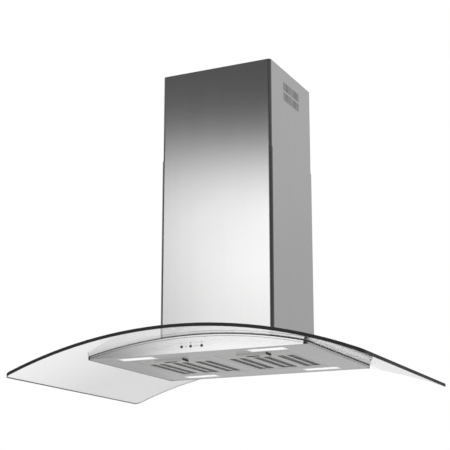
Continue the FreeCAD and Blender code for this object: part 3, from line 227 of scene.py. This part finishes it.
def brushed_steel(name, colour, rough, lines, grain_turn=None, paint_bead_shade=False):
    """Satin steel with fine brush lines, faint broader bands and a little handling haze.

    lines is the number of lines in a metre along each axis; grain_turn turns the stretched gloss of
    upright faces."""
    material, tree, shader = new_material(name)
    fine = noise(tree, place(tree, lines), 1.0, 3.0)
    bands = noise(tree, place(tree, tuple(n / 14 for n in lines)), 1.0, 2.0)
    haze = noise(tree, place(tree), 5.0, 3.0)
    streak = blended(tree, fine, 0.75, bands, 0.25)
    dark = tuple(c * 0.965 for c in colour)
    light = tuple(min(1.0, c * 1.035) for c in colour)
    tone = mix_colour(tree, map_range(tree, streak, 0.3, 0.7, 0, 1), dark, light)
    if paint_bead_shade:
        # painted shade: the fascia's pressed line is darkened
        tone = mix_colour(tree, fascia_bead_painted_shade(tree), tone, tuple(c * 0.45 for c in colour))
    tree.links.new(tone, shader.inputs["Base Color"])
    roughness = math_node(tree, "ADD", map_range(tree, streak, 0.3, 0.7, rough - 0.006, rough + 0.006),
                          map_range(tree, haze, 0.35, 0.7, 0, 0.012))
    tree.links.new(roughness, shader.inputs["Roughness"])
    shader.inputs["Metallic"].default_value = 1.0
    if grain_turn is not None:
        shader.inputs["Anisotropic"].default_value = 0.8
        shader.inputs["Anisotropic Rotation"].default_value = grain_turn
        grain = add(tree, "ShaderNodeTangent", direction_type="RADIAL", axis="Z")
        tree.links.new(grain.outputs[0], shader.inputs["Tangent"])
    bump(tree, shader, fine, 0.00001, 0.15)
    return material


def fascia_bead_painted_shade(tree):
    """1 in the painted shade along the line pressed into the fascia's curved top, 0 elsewhere."""
    coordinates = add(tree, "ShaderNodeTexCoord")
    lifted = add(tree, "ShaderNodeVectorMath", operation="SUBTRACT")
    lifted.inputs[1].default_value = (0, 0, ARCH_CENTRE_Z)
    flat = add(tree, "ShaderNodeVectorMath", operation="MULTIPLY")
    flat.inputs[1].default_value = (1, 0, 1)
    span = add(tree, "ShaderNodeVectorMath", operation="LENGTH")
    tree.links.new(coordinates.outputs["Object"], lifted.inputs[0])
    tree.links.new(lifted.outputs[0], flat.inputs[0])
    tree.links.new(flat.outputs[0], span.inputs[0])
    away = math_node(tree, "ABSOLUTE", math_node(tree, "SUBTRACT", span.outputs["Value"], BEAD_RADIUS))
    return map_range(tree, away, BEAD_WIDTH * 0.35, BEAD_WIDTH * 0.6, 1, 0, True)


def glass_material():
    """Clear tempered glass, faintly grey-green, with painted shade that darkens it a little to the rear, and
    ground edges painted near-black as painted shade.
    """
    material, tree, shader = new_material("clear_glass")
    coordinates = add(tree, "ShaderNodeTexCoord")
    facing = add(tree, "ShaderNodeSeparateXYZ")
    tree.links.new(coordinates.outputs["Normal"], facing.inputs[0])
    edge = map_range(tree, math_node(tree, "ABSOLUTE", facing.outputs["Z"]), 0.35, 0.6, 1, 0)
    where = add(tree, "ShaderNodeSeparateXYZ")
    tree.links.new(coordinates.outputs["Object"], where.inputs[0])
    # painted shade: the glass colour darkens from the front tint to the rear
    depth = map_range(tree, where.outputs["Y"], *GLASS_PAINTED_SHADE_Y, 0, 1)
    body = mix_colour(tree, depth, GLASS_FRONT_TINT, GLASS_REAR_TINT_WITH_PAINTED_SHADE)
    grain = noise(tree, place(tree), 700.0, 3.0)
    # painted shade: the ground edges are made opaque and near-black
    painted_shade_rim = mix_colour(tree, grain, (0.010, 0.012, 0.012), (0.024, 0.027, 0.026))
    tree.links.new(mix_colour(tree, edge, body, painted_shade_rim), shader.inputs["Base Color"])
    haze = map_range(tree, noise(tree, place(tree), 6.0, 3.0), 0.3, 0.8, 0.0, 0.004)
    gloss = math_node(tree, "ADD", haze, math_node(tree, "MULTIPLY", edge, GLASS_RIM_ROUGHNESS))
    tree.links.new(gloss, shader.inputs["Roughness"])
    tree.links.new(math_node(tree, "SUBTRACT", 1.0, edge), shader.inputs["Transmission Weight"])
    shader.inputs["IOR"].default_value = 1.5
    shader.inputs["Specular IOR Level"].default_value = 0.25
    return material


def lens_material():
    """Frosted white lamp cover with a fine prismatic underside, softly lit, its glow dimmer and its colour
    darkened by painted shade to its edges.
    """
    material, tree, shader = new_material("frosted_lens")
    cells = add(tree, "ShaderNodeTexVoronoi")
    cells.inputs["Scale"].default_value = 420.0
    cells.inputs["Randomness"].default_value = 0.15
    tree.links.new(place(tree), cells.inputs["Vector"])
    cloud = noise(tree, place(tree), 30.0, 2.0)
    white = mix_colour(tree, cloud, (0.86, 0.87, 0.87), (0.93, 0.93, 0.925))
    own = add(tree, "ShaderNodeTexCoord")
    across = add(tree, "ShaderNodeSeparateXYZ")
    tree.links.new(own.outputs["Generated"], across.inputs[0])
    edge_dim_and_shade = None
    for axis, start in enumerate(LENS_DIM_AND_SHADE_FROM):
        off = math_node(tree, "ABSOLUTE", math_node(tree, "SUBTRACT", across.outputs[axis], 0.5))
        side = map_range(tree, off, start, 0.5, 0.0, 1.0, True)
        edge_dim_and_shade = side if edge_dim_and_shade is None else math_node(tree, "MAXIMUM", edge_dim_and_shade, side)
    # painted shade: the cover's colour darkens to grey toward its edges
    tree.links.new(mix_colour(tree, edge_dim_and_shade, white, (0.56, 0.57, 0.57)), shader.inputs["Base Color"])
    glow = mix_colour(tree, edge_dim_and_shade, (1.0, 0.995, 0.98), (0.35, 0.35, 0.34))
    tree.links.new(glow, shader.inputs["Emission Color"])
    tree.links.new(map_range(tree, cloud, 0.3, 0.7, 0.3, 0.42), shader.inputs["Roughness"])
    shader.inputs["Transmission Weight"].default_value = 0.15
    shader.inputs["Emission Strength"].default_value = 0.25
    bump(tree, shader, cells.outputs["Distance"], 0.0004, 0.5)
    return material


def galvanised():
    """Zinc-coated sheet with a soft spangle."""
    material, tree, shader = new_material("galvanised_sheet")
    spangle = add(tree, "ShaderNodeTexVoronoi")
    spangle.inputs["Scale"].default_value = 110.0
    tree.links.new(place(tree), spangle.inputs["Vector"])
    grey = add(tree, "ShaderNodeSeparateColor")
    tree.links.new(spangle.outputs["Color"], grey.inputs[0])
    mottle = noise(tree, place(tree), 14.0, 4.0)
    blend = blended(tree, grey.outputs[0], 0.6, mottle, 0.5)
    tone = mix_colour(tree, blend, (0.46, 0.48, 0.49), (0.68, 0.70, 0.71))
    tree.links.new(tone, shader.inputs["Base Color"])
    tree.links.new(map_range(tree, blend, 0.1, 0.9, 0.38, 0.52), shader.inputs["Roughness"])
    shader.inputs["Metallic"].default_value = 0.85
    bump(tree, shader, mottle, 0.0002, 0.2)
    return material


def plain_metal(name, colour, rough, scale=80.0, metallic=1.0):
    """Turned, plated or painted metal with mottled tone and gloss."""
    material, tree, shader = new_material(name)
    mottle = noise(tree, place(tree), scale, 5.0)
    wide = noise(tree, place(tree), scale / 12, 3.0)
    dark, light = tuple(c * 0.85 for c in colour), tuple(min(1.0, c * 1.12) for c in colour)
    cloud = blended(tree, mottle, 0.5, wide, 0.5)
    tone = mix_colour(tree, map_range(tree, cloud, 0.3, 0.7, 0, 1), dark, light)
    tree.links.new(tone, shader.inputs["Base Color"])
    tree.links.new(map_range(tree, cloud, 0.3, 0.7, rough - 0.05, rough + 0.07), shader.inputs["Roughness"])
    shader.inputs["Metallic"].default_value = metallic
    bump(tree, shader, mottle, 0.00008, 0.3)
    return material


def moulded(name, colour, rough, grain=900.0, depth=0.00008, glow=None, strength=0.0):
    """Moulded plastic or rubber with a fine surface texture; a lens may glow."""
    material, tree, shader = new_material(name)
    fine = noise(tree, place(tree), grain, 2.0)
    wide = noise(tree, place(tree), 25.0, 3.0)
    dark, light = tuple(c * 0.85 for c in colour), tuple(min(1.0, c * 1.15) for c in colour)
    tree.links.new(mix_colour(tree, wide, dark, light), shader.inputs["Base Color"])
    tree.links.new(map_range(tree, wide, 0.3, 0.7, rough - 0.05, rough + 0.05), shader.inputs["Roughness"])
    if glow:
        shader.inputs["Emission Color"].default_value = (*glow, 1)
        shader.inputs["Emission Strength"].default_value = strength
    bump(tree, shader, fine, depth, 0.4)
    return material


def circuit_board():
    """Green solder mask with faint copper tracks under it."""
    material, tree, shader = new_material("circuit_board")
    tracks = add(tree, "ShaderNodeTexBrick")
    tracks.inputs["Scale"].default_value = 160.0
    tracks.inputs["Mortar Size"].default_value = 0.06
    tracks.inputs["Color1"].default_value = (0.03, 0.16, 0.08, 1)
    tracks.inputs["Color2"].default_value = (0.04, 0.19, 0.1, 1)
    tracks.inputs["Mortar"].default_value = (0.1, 0.3, 0.14, 1)
    tree.links.new(place(tree), tracks.inputs["Vector"])
    tree.links.new(tracks.outputs["Color"], shader.inputs["Base Color"])
    tree.links.new(map_range(tree, tracks.outputs["Fac"], 0, 1, 0.3, 0.4), shader.inputs["Roughness"])
    bump(tree, shader, tracks.outputs["Fac"], 0.00005, 0.3)
    return material


def grease_pad_painted_shade():
    """Layered expanded aluminium, seen as a dark open weave whose gaps are painted near-black as painted
    shade.
    """
    material, tree, shader = new_material("grease_pad_painted_shade")
    cells = add(tree, "ShaderNodeTexVoronoi", feature="DISTANCE_TO_EDGE")
    cells.inputs["Scale"].default_value = 260.0
    cells.inputs["Randomness"].default_value = 0.5
    tree.links.new(place(tree, (1, 0.6, 1), (0, 0, 0.6)), cells.inputs["Vector"])
    wire = map_range(tree, cells.outputs["Distance"], 0.04, 0.2, 1, 0, True)
    # painted shade: the gaps between the wires are near-black
    tone = mix_colour(tree, wire, (0.045, 0.045, 0.045), (0.27, 0.27, 0.266))
    tree.links.new(tone, shader.inputs["Base Color"])
    tree.links.new(map_range(tree, wire, 0, 1, 0.65, 0.4), shader.inputs["Roughness"])
    tree.links.new(wire, shader.inputs["Metallic"])
    bump(tree, shader, wire, 0.0008, 0.8)
    return material


STEEL = (0.62, 0.62, 0.618)
MATERIALS = {
    "glass": glass_material(),
    "frosted_lens": lens_material(),
    "chimney_steel": brushed_steel("chimney_steel_finish", STEEL, 0.15, (700, 700, 2), 0.0),
    "canopy_steel": brushed_steel("canopy_steel_finish", STEEL, 0.2, (3, 900, 900)),
    "filter_steel": brushed_steel("filter_steel_finish", (0.58, 0.58, 0.57), 0.22, (900, 3, 900)),
    "grease_mesh": grease_pad_painted_shade(),
    "galvanised_steel": galvanised(),
    "fastener_steel": plain_metal("fastener_plating", (0.55, 0.55, 0.55), 0.28, 300.0),
    "bushing_bronze": plain_metal("sintered_bronze", (0.62, 0.45, 0.25), 0.42, 500.0),
    "black_rubber": moulded("gasket_rubber", (0.028, 0.028, 0.029), 0.62, 1200.0),
    "black_plastic": moulded("textured_black_plastic", (0.04, 0.04, 0.042), 0.42),
    "dark_plastic": moulded("dark_moulding", (0.12, 0.12, 0.12), 0.5),
    "white_plastic": moulded("white_moulding", (0.82, 0.82, 0.8), 0.4),
    "lamp_aluminium": plain_metal("lamp_aluminium_finish", (0.75, 0.75, 0.75), 0.36, 120.0),
    "motor_paint": plain_metal("motor_paint_finish", (0.08, 0.08, 0.09), 0.36, 200.0, 0.0),
    "circuit_board": circuit_board(),
    "green_light": moulded("green_lens", (0.16, 0.36, 0.2), 0.25, 600.0, 0.00003, (0.1, 0.6, 0.25), 0.12),
    "speed_light": moulded("speed_lens", (0.08, 0.07, 0.068), 0.3, 600.0, 0.00003),
}


# Nodes whose brush lines run otherwise than their slot's, the band also with steel painted darker as painted
# shade, and the matt cores of the pulls.
GRIP_PLASTIC = moulded("matt_black_plastic", (0.018, 0.018, 0.019), 0.75)
NODE_MATERIALS = {
    "filter_grip_left": GRIP_PLASTIC,
    "filter_grip_right": GRIP_PLASTIC,
    "front_fascia": brushed_steel("fascia_steel_finish", STEEL, 0.15, (3, 3, 900), 0.25, True),
    # painted shade: the band's steel is given a darker colour than the same sheet on the fascia
    "canopy_band": brushed_steel("band_steel_painted_shade", (0.46, 0.46, 0.457), 0.08, (3, 3, 900), 0.25),
}
STRAND_METAL = plain_metal("expanded_metal", (0.36, 0.36, 0.356), 0.38, 400.0)
PRINT = moulded("printed_marks", (0.16, 0.16, 0.17), 0.55, 1500.0, 0.00001)


def dress_nodes():
    """Every CAD node's material slots get the finish of the record's slot, or the node's own."""
    for name, node in NODES.items():
        for slot in node.material_slots:
            slot.material = NODE_MATERIALS.get(name) or MATERIALS[slot.material.name.split(".")[0]]


# ---------------------------------------------------------------- fine pieces

def canopy_point(x, y, z):
    """Point in the frame from millimetres over the underside, from the middle of the canopy."""
    return Vector((x, y - CHIMNEY_SETBACK, z - HOOD_HEIGHT)) * MM


def prism(shape, corners, offset):
    """Closed prism from a polygon's corners, pushed along offset."""
    lower = [shape.verts.new(c) for c in corners]
    upper = [shape.verts.new(Vector(c) + Vector(offset)) for c in corners]
    shape.faces.new(lower)
    shape.faces.new(reversed(upper))
    for n in range(len(corners)):
        m = (n + 1) % len(corners)
        shape.faces.new((lower[m], lower[n], upper[n], upper[m]))


def mesh_of(name, shape):
    """Mesh made from a bmesh, with its faces turned outward."""
    bmesh.ops.recalc_face_normals(shape, faces=shape.faces)
    mesh = bpy.data.meshes.new(name)
    shape.to_mesh(mesh)
    shape.free()
    return mesh


def placed(name, mesh, body, location=(0, 0, 0), turn=(0, 0, 0)):
    """Object with this mesh that rides on a body."""
    made = bpy.data.objects.new(name, mesh)
    made.location = location
    made.rotation_euler = turn
    bpy.context.scene.collection.objects.link(made)
    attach(made, body)


def piece(name, shape, material, body):
    """Fine piece from a bmesh drawn in the frame."""
    mesh = mesh_of(name, shape)
    mesh.materials.append(material)
    placed(name, mesh, body)


def clipped(point, direction, low, high):
    """The part of a line inside a rectangle, as two distances from point, or None."""
    start, end = -1e9, 1e9
    for axis in (0, 1):
        if abs(direction[axis]) < 1e-9:
            continue
        near, far = sorted((edge[axis] - point[axis]) / direction[axis] for edge in (low, high))
        start, end = max(start, near), min(end, far)
    return (start, end) if end - start > STRAND_WIDTH else None


def filter_lattice(side):
    """Expanded metal under the grease mesh: two layers of crossing strands."""
    low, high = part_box("filter_mesh_" + side)
    middle = (low + high) / 2
    shape = bmesh.new()
    for layer, sign in enumerate((-1, 1)):
        direction = Vector((sign * math.sin(STRAND_ANGLE), math.cos(STRAND_ANGLE)))
        across = Vector((direction.y, -direction.x))
        top = low.z - STRAND_CLEAR - layer * STRAND_THICKNESS
        for n in range(-STRANDS_EACH_WAY, STRANDS_EACH_WAY + 1):
            point = Vector((middle.x, middle.y)) + across * (n * STRAND_PITCH)
            part = clipped(point, direction, low, high)
            if part is None:
                continue
            half = across * STRAND_WIDTH / 2
            a, b = (point + direction * d for d in part)
            corners = [(*c, top) for c in (a - half, a + half, b + half, b - half)]
            prism(shape, corners, (0, 0, -STRAND_THICKNESS))
    piece("filter_lattice_" + side, shape, STRAND_METAL, side + "_filter")


def mark_stroke(shape, a, b, width):
    """Short printed line on the fascia between two points (x, z) in millimetres."""
    a, b = Vector(a), Vector(b)
    along = (b - a).normalized() * width / 2
    side = Vector((-along.y, along.x))
    ends = (a - along - side, b + along - side, b + along + side, a - along + side)
    corners = [canopy_point(c.x, FASCIA_Y, c.y) for c in ends]
    prism(shape, corners, (0, -MARK_PROUD * MM, 0))


def mark_ring(shape, centre, radius, width, start=0.0, end=math.tau, parts=14):
    """Printed ring or arc, drawn as short lines."""
    points = [Vector(centre) + radius * Vector((math.cos(t), math.sin(t)))
              for t in (start + (end - start) * n / parts for n in range(parts + 1))]
    for a, b in zip(points, points[1:]):
        mark_stroke(shape, a, b, width)


def control_marks():
    """Small pictograms over the controls: off, on, fan, its three steps and lamp."""
    shape = bmesh.new()
    z = MARK_Z
    off_x, fan_x, lamp_x = BUTTON_X
    mark_ring(shape, (off_x, z), 1.35, MARK_LINE, math.radians(125), math.radians(415))
    mark_stroke(shape, (off_x, z + 0.3), (off_x, z + 1.6), MARK_LINE)
    mark_ring(shape, (POWER_LIGHT_X, z), 0.95, 0.4)
    for n in range(3):
        turn = math.radians(90 + 120 * n)
        blade = Vector((fan_x, z)) + Vector((math.cos(turn), math.sin(turn)))
        mark_ring(shape, blade, 0.62, MARK_LINE, parts=8)
    for n, x in enumerate(SPEED_LIGHT_X):
        mark_stroke(shape, (x, z - 1.2), (x, z - 0.4 + 0.8 * n), MARK_BAR)
    bulb = Vector((lamp_x, z + 0.3))
    mark_ring(shape, bulb, 1.1, MARK_LINE)
    mark_stroke(shape, (lamp_x - 0.5, z - 1.3), (lamp_x + 0.5, z - 1.3), MARK_BOLD_LINE)
    for degrees in (30, 90, 150):
        ray = Vector((math.cos(math.radians(degrees)), math.sin(math.radians(degrees))))
        mark_stroke(shape, bulb + ray * 1.8, bulb + ray * 2.3, MARK_FINE_LINE)
    piece("control_marks", shape, PRINT, "hood")


def screw_mesh():
    """Pan head with a cross recess, its seat at the origin and its top along +Z."""
    shape = bmesh.new()
    turns = [math.tau * n / SCREW_SIDES for n in range(SCREW_SIDES)]
    rings = [[shape.verts.new((radius * MM * math.cos(t), radius * MM * math.sin(t), z * MM)) for t in turns]
             for radius, z in SCREW_PROFILE]
    for lower, upper in zip(rings, rings[1:]):
        for n in range(SCREW_SIDES):
            m = (n + 1) % SCREW_SIDES
            shape.faces.new((lower[n], lower[m], upper[m], upper[n]))
    shape.faces.new(reversed(rings[0]))
    shape.faces.new(rings[-1])
    head = bpy.data.objects.new("screw_blank", mesh_of("screw_head", shape))
    cut = bmesh.new()
    long, wide, floor_z = RECESS_HALF_LENGTH * MM, RECESS_HALF_WIDTH * MM, RECESS_FLOOR * MM
    for a, b in ((long, wide), (wide, long)):
        corners = [(-a, -b, floor_z), (a, -b, floor_z), (a, b, floor_z), (-a, b, floor_z)]
        prism(cut, corners, (0, 0, 2 * MM))
    cutter = bpy.data.objects.new("screw_cutter", mesh_of("screw_cutter", cut))
    for made in (head, cutter):
        bpy.context.scene.collection.objects.link(made)
    recess = head.modifiers.new("recess", "BOOLEAN")
    recess.operation = "DIFFERENCE"
    recess.solver = "EXACT"
    recess.use_self = True
    recess.object = cutter
    done = bpy.data.meshes.new_from_object(head.evaluated_get(bpy.context.evaluated_depsgraph_get()))
    for made in (head, cutter):
        bpy.data.objects.remove(made)
    done.materials.clear()
    done.materials.append(MATERIALS["fastener_steel"])
    return done


def cover_screws():
    """Screws at the foot of the lower cover's rear and the top of the upper one's."""
    mesh = screw_mesh()
    to_the_rear = Vector((0, 1, 0)).to_track_quat("Z", "Y").to_euler()
    for name, node, height, body in (("foot", "lower_chimney", LOW_SCREW_Z, "hood"),
                                     ("top", "upper_chimney", TOP_SCREW_Z, "upper_cover")):
        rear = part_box(node)[1].y
        for side, x in (("left", -SCREW_X), ("right", SCREW_X)):
            seat = (x * MM, rear, canopy_point(0, 0, height).z)
            placed(f"cover_screw_{name}_{side}", mesh, body, seat, to_the_rear)


def lap_seam(name, node, ends, body):
    """Folded sheet's lapped joint down the middle of a cover's rear."""
    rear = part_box(node)[1].y
    shape = bmesh.new()
    half, proud = SEAM_WIDTH / 2 * MM, SEAM_PROUD * MM
    low, high = (canopy_point(0, 0, z).z for z in ends)
    outline = [(-half, rear, low), (half, rear, low), (half, rear + proud * 0.5, low),
               (half - proud, rear + proud, low), (-half, rear + proud, low)]
    prism(shape, outline, (0, 0, high - low))
    piece(name, shape, MATERIALS["chimney_steel"], body)


# ---------------------------------------------------------------- studio

def camera():
    """The photograph's view."""
    data = bpy.data.cameras.new("camera")
    data.lens = CAMERA_LENS
    data.sensor_width = 36.0
    data.shift_y = CAMERA_SHIFT_Y
    data.clip_end = 60.0
    eye = bpy.data.objects.new("camera", data)
    eye.location = CAMERA_PLACE
    eye.rotation_euler = (math.pi / 2 + CAMERA_PITCH, 0, CAMERA_YAW)
    bpy.context.scene.collection.objects.link(eye)
    bpy.context.scene.camera = eye


def ramp(tree, value, stops):
    """Brightness that goes from stop to stop (place from 0 to 1, brightness)."""
    node = add(tree, "ShaderNodeValToRGB")
    node.color_ramp.interpolation = "EASE"
    marks = node.color_ramp.elements
    while len(marks) > 1:
        marks.remove(marks[-1])
    marks[0].position = stops[0][0]
    marks[0].color = (*[stops[0][1]] * 3, 1)
    for position, level in stops[1:]:
        mark = marks.new(position)
        mark.color = (*[level] * 3, 1)
    tree.links.new(value, node.inputs[0])
    return node.outputs[0]


def studio_world():
    """White to the eye; polished metal sees walls, soft lights and a dark screen."""
    world = bpy.data.worlds.new("studio")
    world.use_nodes = True
    world.cycles.sampling_method = "NONE"
    tree = world.node_tree
    tree.nodes.clear()
    coordinates = add(tree, "ShaderNodeTexCoord")
    parts = add(tree, "ShaderNodeSeparateXYZ")
    tree.links.new(coordinates.outputs["Generated"], parts.inputs[0])
    x, y, z = parts.outputs
    bearing = math_node(tree, "ARCTAN2", x, math_node(tree, "MULTIPLY", y, -1.0))
    around = map_range(tree, bearing, -math.pi, math.pi, 0, 1)
    height = math_node(tree, "ARCSINE", z)
    level = map_range(tree, height, -math.pi / 2, math.pi / 2, 0, 1)

    def patch(by_bearing, by_height, strength=1.0):
        """Brightness of one part of the room."""
        across = ramp(tree, around, [(0.5 + a / 360, b) for a, b in by_bearing])
        up = ramp(tree, level, [(0.5 + a / 180, b) for a, b in by_height])
        return math_node(tree, "MULTIPLY", math_node(tree, "MULTIPLY", across, up), strength)

    def background(brightness):
        """Even white sky."""
        sky = add(tree, "ShaderNodeBackground")
        sky.inputs[0].default_value = (1, 1, 1, 1)
        sky.inputs[1].default_value = brightness
        return sky

    screen = patch(SCREEN_BY_BEARING, SCREEN_BY_HEIGHT)
    room = math_node(tree, "MULTIPLY", patch(WALL_BY_BEARING, WALL_BY_HEIGHT),
                     math_node(tree, "SUBTRACT", 1.0, screen))
    total = ramp(tree, level, [(0.5 + a / 180, b) for a, b in CEILING_BY_HEIGHT])
    for part in (room, patch(PANEL_BY_BEARING, PANEL_BY_HEIGHT, PANEL_LEVEL),
                 patch(GLOW_BY_BEARING, GLOW_BY_HEIGHT, GLOW_LEVEL),
                 patch(REAR_BY_BEARING, REAR_BY_HEIGHT, REAR_LEVEL)):
        total = math_node(tree, "ADD", total, part)
    ray = add(tree, "ShaderNodeLightPath")
    plain, glossy, white = background(PLAIN_LEVEL), background(1.0), background(1.0)
    tree.links.new(total, glossy.inputs[0])
    first = add(tree, "ShaderNodeMixShader")
    mirrored = math_node(tree, "GREATER_THAN", ray.outputs["Glossy Depth"], 0.5)
    through = math_node(tree, "MULTIPLY", ray.outputs["Is Transmission Ray"], mirrored)
    tree.links.new(math_node(tree, "MAXIMUM", ray.outputs["Is Glossy Ray"], through), first.inputs[0])
    tree.links.new(plain.outputs[0], first.inputs[1])
    tree.links.new(glossy.outputs[0], first.inputs[2])
    direct = math_node(tree, "MAXIMUM", ray.outputs["Is Camera Ray"],
                       math_node(tree, "SUBTRACT", ray.outputs["Is Transmission Ray"], through))
    second = add(tree, "ShaderNodeMixShader")
    tree.links.new(direct, second.inputs[0])
    tree.links.new(first.outputs[0], second.inputs[1])
    tree.links.new(white.outputs[0], second.inputs[2])
    out = add(tree, "ShaderNodeOutputWorld")
    tree.links.new(second.outputs[0], out.inputs[0])
    bpy.context.scene.world = world


def floor():
    """Round pale floor that fades to white far out and isn't seen from below."""
    mesh = bpy.data.meshes.new("floor")
    shape = bmesh.new()
    bmesh.ops.create_circle(shape, cap_ends=True, radius=FLOOR_RADIUS, segments=96,
                            matrix=Matrix.Translation((0, 0, FLOOR_Z)))
    shape.to_mesh(mesh)
    shape.free()
    ground = bpy.data.objects.new("floor", mesh)
    bpy.context.scene.collection.objects.link(ground)
    material, tree, shader = new_material("floor")
    grain = noise(tree, place(tree), 40.0, 4.0)
    tone = mix_colour(tree, grain, (0.86, 0.86, 0.855), (0.89, 0.89, 0.885))
    tree.links.new(tone, shader.inputs["Base Color"])
    shader.inputs["Roughness"].default_value = 0.7
    clear = add(tree, "ShaderNodeBsdfTransparent")
    coordinates = add(tree, "ShaderNodeTexCoord")
    span = add(tree, "ShaderNodeVectorMath", operation="LENGTH")
    flat = add(tree, "ShaderNodeVectorMath", operation="MULTIPLY")
    flat.inputs[1].default_value = (1, 1, 0)
    tree.links.new(coordinates.outputs["Object"], flat.inputs[0])
    tree.links.new(flat.outputs[0], span.inputs[0])
    far = map_range(tree, span.outputs["Value"], *FLOOR_FADE, 0, 1, True)
    below = add(tree, "ShaderNodeNewGeometry").outputs["Backfacing"]
    gone = math_node(tree, "MAXIMUM", far, below)
    mix = add(tree, "ShaderNodeMixShader")
    tree.links.new(gone, mix.inputs[0])
    tree.links.new(shader.outputs[0], mix.inputs[1])
    tree.links.new(clear.outputs[0], mix.inputs[2])
    tree.links.new(mix.outputs[0], tree.nodes["Material Output"].inputs["Surface"])
    ground.data.materials.append(material)
    ground.visible_glossy = False


def key_light():
    """Soft light from the front left that polished metal doesn't see."""
    data = bpy.data.lights.new("key", "AREA")
    data.shape = "SQUARE"
    data.size = KEY_SIZE
    data.energy = KEY_WATTS
    lamp = bpy.data.objects.new("key", data)
    lamp.location = KEY_PLACE
    lamp.rotation_euler = (Vector(KEY_AIM) - Vector(KEY_PLACE)).to_track_quat("-Z", "Y").to_euler()
    lamp.visible_glossy = False
    bpy.context.scene.collection.objects.link(lamp)


bpy.context.scene.view_settings.view_transform = "Standard"
dress_nodes()
for filter_side in ("left", "right"):
    filter_lattice(filter_side)
control_marks()
cover_screws()
lap_seam("lap_seam_upper", "upper_chimney", UPPER_SEAM, "upper_cover")
lap_seam("lap_seam_lower", "lower_chimney", LOWER_SEAM, "hood")
camera()
studio_world()
floor()
key_light()
